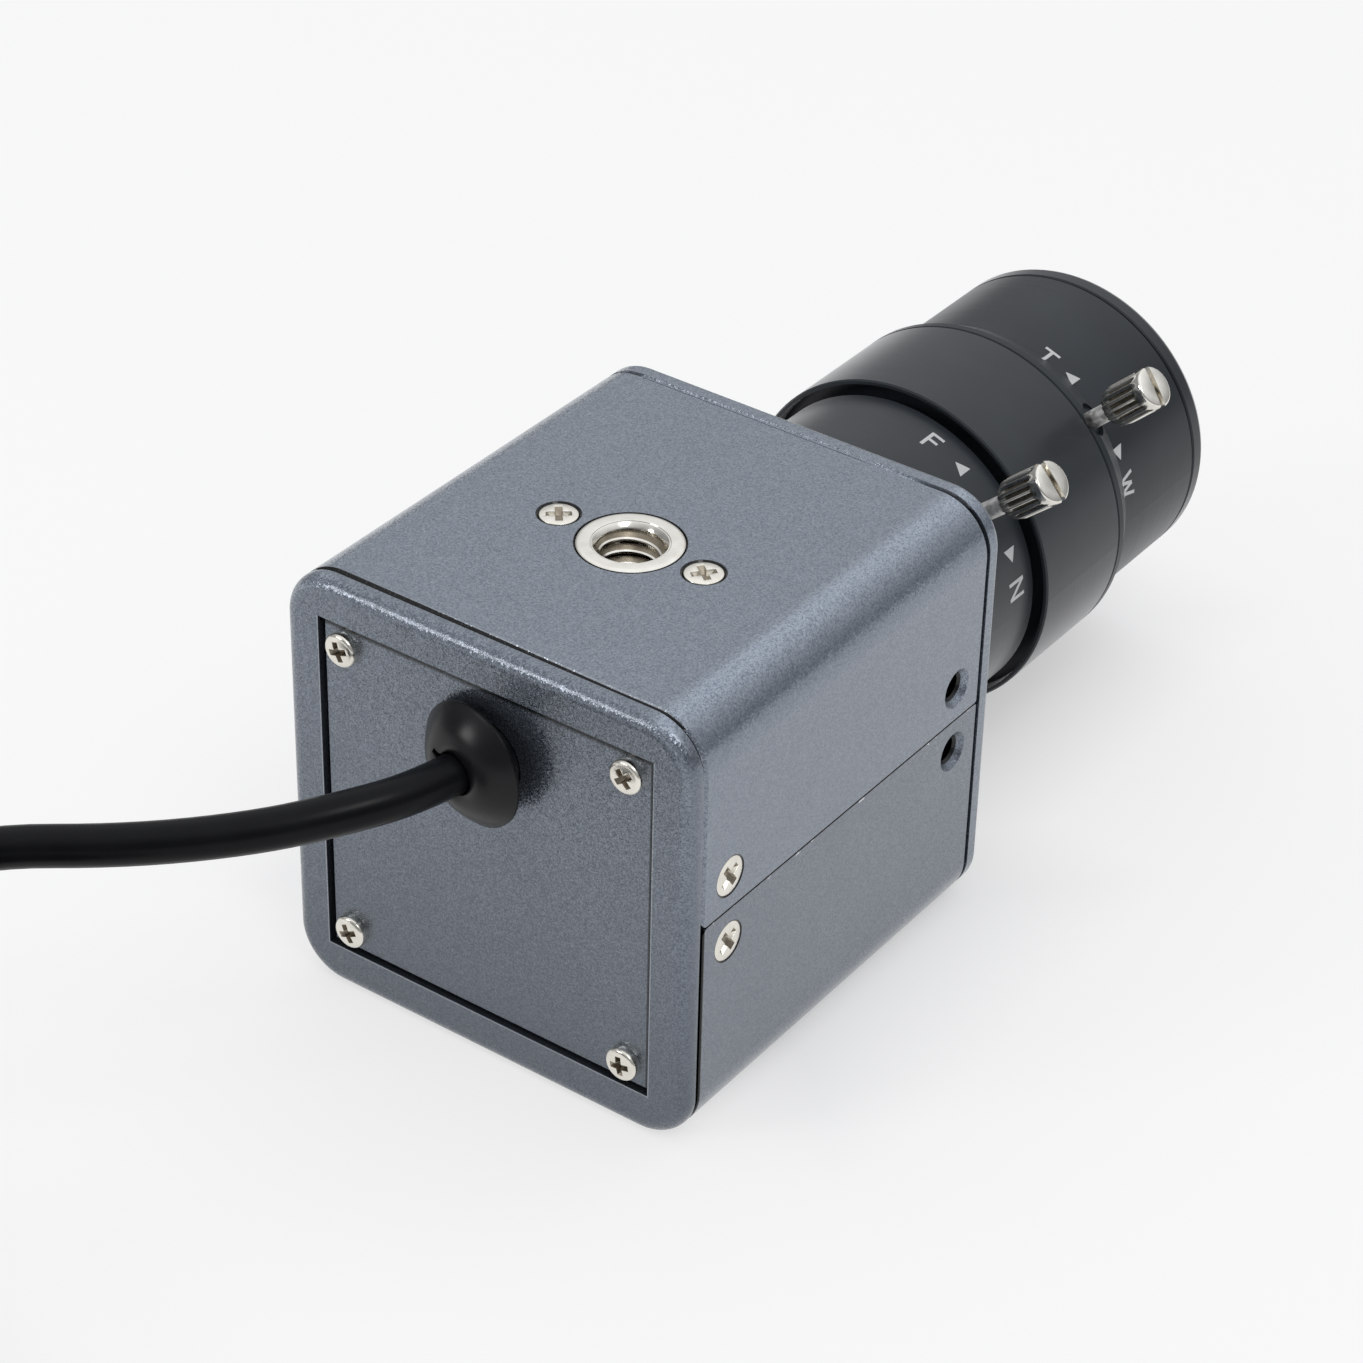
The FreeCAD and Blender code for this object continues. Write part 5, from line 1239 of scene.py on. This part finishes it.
def build_plug():
    """The moulded grip with finger grooves and a ribbed sleeve."""
    sections = list(GRIP_FRONT)
    for i in range(GROOVES):
        for way, dip in GROOVE:
            height = GRIP_HALF_HEIGHT - GROOVE_TOP * dip
            level = GROOVE_START - GROOVE_STEP * i - way
            sections.append((height, GRIP_HALF_WIDTH - dip, GRIP_POWER, level))
    sections += GRIP_REAR
    for i in range(RIBS):
        for way, dip in RIB:
            radius = RIB_RADIUS - RIB_TAPER * i - dip
            sections.append((radius, radius, 2.0, RIB_START - RIB_STEP * i - way))
    grip = skin("plug_grip", [rounded_section(*section) for section in sections + SLEEVE_END])
    place(grip, (0.0, PLUG_SIDE, PLUG_HEIGHT), (1.0, 0.0, 0.0))
    return hand_in(grip, "camera", "plug_black", "usb_grip", sharp=50.0)


TIE_HALF_WIDTH = 2.45
TIE_INSIDE = 1.9
TIE_THICKNESS = 0.55
TIE_INSET = 0.12
# The bundle's corners, as (column, layer, arc from, arc to)
TIE_CORNERS = [
    (0, 0, -90.0, 0.0), (0, 2, 0.0, 90.0), (1, 2, 90.0, 116.9), (3, 1, 116.9, 180.0),
    (3, 0, 180.0, 270.0),
]
TIE_STEPS = 8
FLAP_CORNERS = [(0, 0, -30.0, 0.0), *TIE_CORNERS[1:3]]
FLAP_LIFT = TIE_THICKNESS + 0.02
FLAP_STEPS = 6


def tie_rows(corners, steps, lift):
    """The strap's cross-sections round corners of the bundle."""
    flat = TIE_HALF_WIDTH - TIE_INSET
    upper = TIE_THICKNESS - TIE_INSET
    section = [
        (-flat, 0.0), (flat, 0.0), (TIE_HALF_WIDTH, TIE_INSET), (TIE_HALF_WIDTH, upper),
        (flat, TIE_THICKNESS), (-flat, TIE_THICKNESS), (-TIE_HALF_WIDTH, upper),
        (-TIE_HALF_WIDTH, TIE_INSET),
    ]
    rows = []
    for column, layer, start, end in corners:
        for step in range(steps + 1):
            turn = math.radians(start + (end - start) * step / steps)
            row = []
            for side, height in section:
                reach = TIE_INSIDE + lift + height
                row.append((
                    COIL_CENTRE[0] + side,
                    COIL_CENTRE[1] + COIL_COLUMNS[column] + reach * math.cos(turn),
                    COIL_LAYERS[layer] + reach * math.sin(turn),
                ))
            rows.append(row)
    return rows[::-1]


def build_tie():
    """A soft strap round the bundle, its end pressed down on itself."""
    strap = skin("strap", tie_rows(TIE_CORNERS, TIE_STEPS, 0.0), loop=True)
    flap = skin("flap", tie_rows(FLAP_CORNERS, FLAP_STEPS, FLAP_LIFT))
    tie = joined("cable_strap", [strap, flap])
    tie.data.transform(Matrix.Scale(MM, 4))
    return hand_in(tie, "camera", "tie_black", "cable_tie", sharp=50.0)


cable = build_cable()
build_seam_bridge()
build_screws()
build_tripod_bush()
build_grommet()
build_locks()
build_marks()
plug_grip = build_plug()
cable_strap = build_tie()

# Floor and light

FLOOR_SIZE = 40.0
FLOOR_TONE = (0.93, 0.93, 0.93)
GLOW_TONE = (0.965, 0.965, 0.965)
# The glow's share ahead of the box and behind it, where it changes, and its drop near the box
FLOOR_GLOW = 0.68
FLOOR_GLOW_REAR = 0.78
GLOW_TURN = (-70.0 * MM, -45.0 * MM)
FLOOR_GLOW_NEAR = 0.68
SHADE_REACH = 14.0 * MM
# Floor under the box and under the lens, as its middle along the axis, half length and half width
SHADED_FLOOR = [(9.0 * MM, 14.0 * MM, 21.5 * MM), (47.0 * MM, 25.0 * MM, 8.0 * MM)]


def beyond(spot, middle, half_length, half_width):
    """How far a place lies outside an oblong of floor."""
    run = unsigned(reckon("SUBTRACT", spot[1], middle))
    past_end = reckon("SUBTRACT", run, half_length)
    past_side = reckon("SUBTRACT", unsigned(spot[0]), half_width)
    return any_of(past_end, past_side)


def build_floor():
    """A pale paper floor that looks evenly white and keeps a light shadow."""
    bpy.ops.mesh.primitive_plane_add(size=FLOOR_SIZE)
    floor = bpy.context.object
    floor.name = "floor"
    tree, shader = start_material("floor_white", FLOOR_TONE, 0.9)
    path = add_node(tree, "LightPath")
    rays = [path.outputs[f"Is {kind} Ray"] for kind in ("Camera", "Glossy", "Transmission")]
    spot = split(pattern_space(tree))
    share = spread(spot[1], FLOOR_GLOW_REAR, FLOOR_GLOW, *GLOW_TURN)
    away = [beyond(spot, *patch) for patch in SHADED_FLOOR]
    near = spread(reckon("MINIMUM", *away), FLOOR_GLOW_NEAR, 1.0, 0.0, SHADE_REACH)
    seen = all_of(any_of(*rays), all_of(share, near))
    glow = add_node(tree, "Emission", Color=GLOW_TONE)
    mix = add_node(tree, "MixShader", seen, shader.outputs["BSDF"], glow.outputs["Emission"])
    fill(tree.nodes["Material Output"], Surface=mix.outputs["Shader"])
    floor.data.materials.append(MATERIALS["floor_white"])


SKY_SLANT = Vector((-0.03, 0.28, 1.0))
SKY_TURN = (0.2, 0.95)
SKY_LOW = 0.28
SKY_HIGH = 1.11
SKY_TONE = (0.97, 0.985, 1.0)
LAMP_AIM = Vector((0.0, 0.0, 0.02))
# Each square lamp's place, size and power
LAMPS = {"key": ((-0.45, -0.7, 0.4), 0.26, 1.5), "corner": ((0.42, -0.25, 0.7), 0.25, 0.9)}


def light_scene():
    """A light tent: bright overhead, dim towards the horizon and most so behind the box, with a lamp at
    the left behind the box and another above at the right."""
    world = bpy.data.worlds.new("light_tent")
    world.use_nodes = True
    tree = world.node_tree
    source = add_node(tree, "TexCoord").outputs["Generated"]
    facing = arithmetic("VectorMath", "DOT_PRODUCT", source, SKY_SLANT).outputs["Value"]
    level = spread(facing, SKY_LOW, SKY_HIGH, *SKY_TURN)
    level.node.interpolation_type = "SMOOTHSTEP"
    fill(tree.nodes["Background"], Strength=level, Color=SKY_TONE)
    bpy.context.scene.world = world
    for name, (spot, size, power) in LAMPS.items():
        light = bpy.data.lights.new(name, "AREA")
        light.size = size
        light.energy = power
        lamp = add_object(name, light)
        lamp.location = spot
        lamp.rotation_euler = (LAMP_AIM - Vector(spot)).to_track_quat("-Z", "Y").to_euler()


build_floor()
light_scene()
bpy.context.scene.view_settings.view_transform = "Standard"
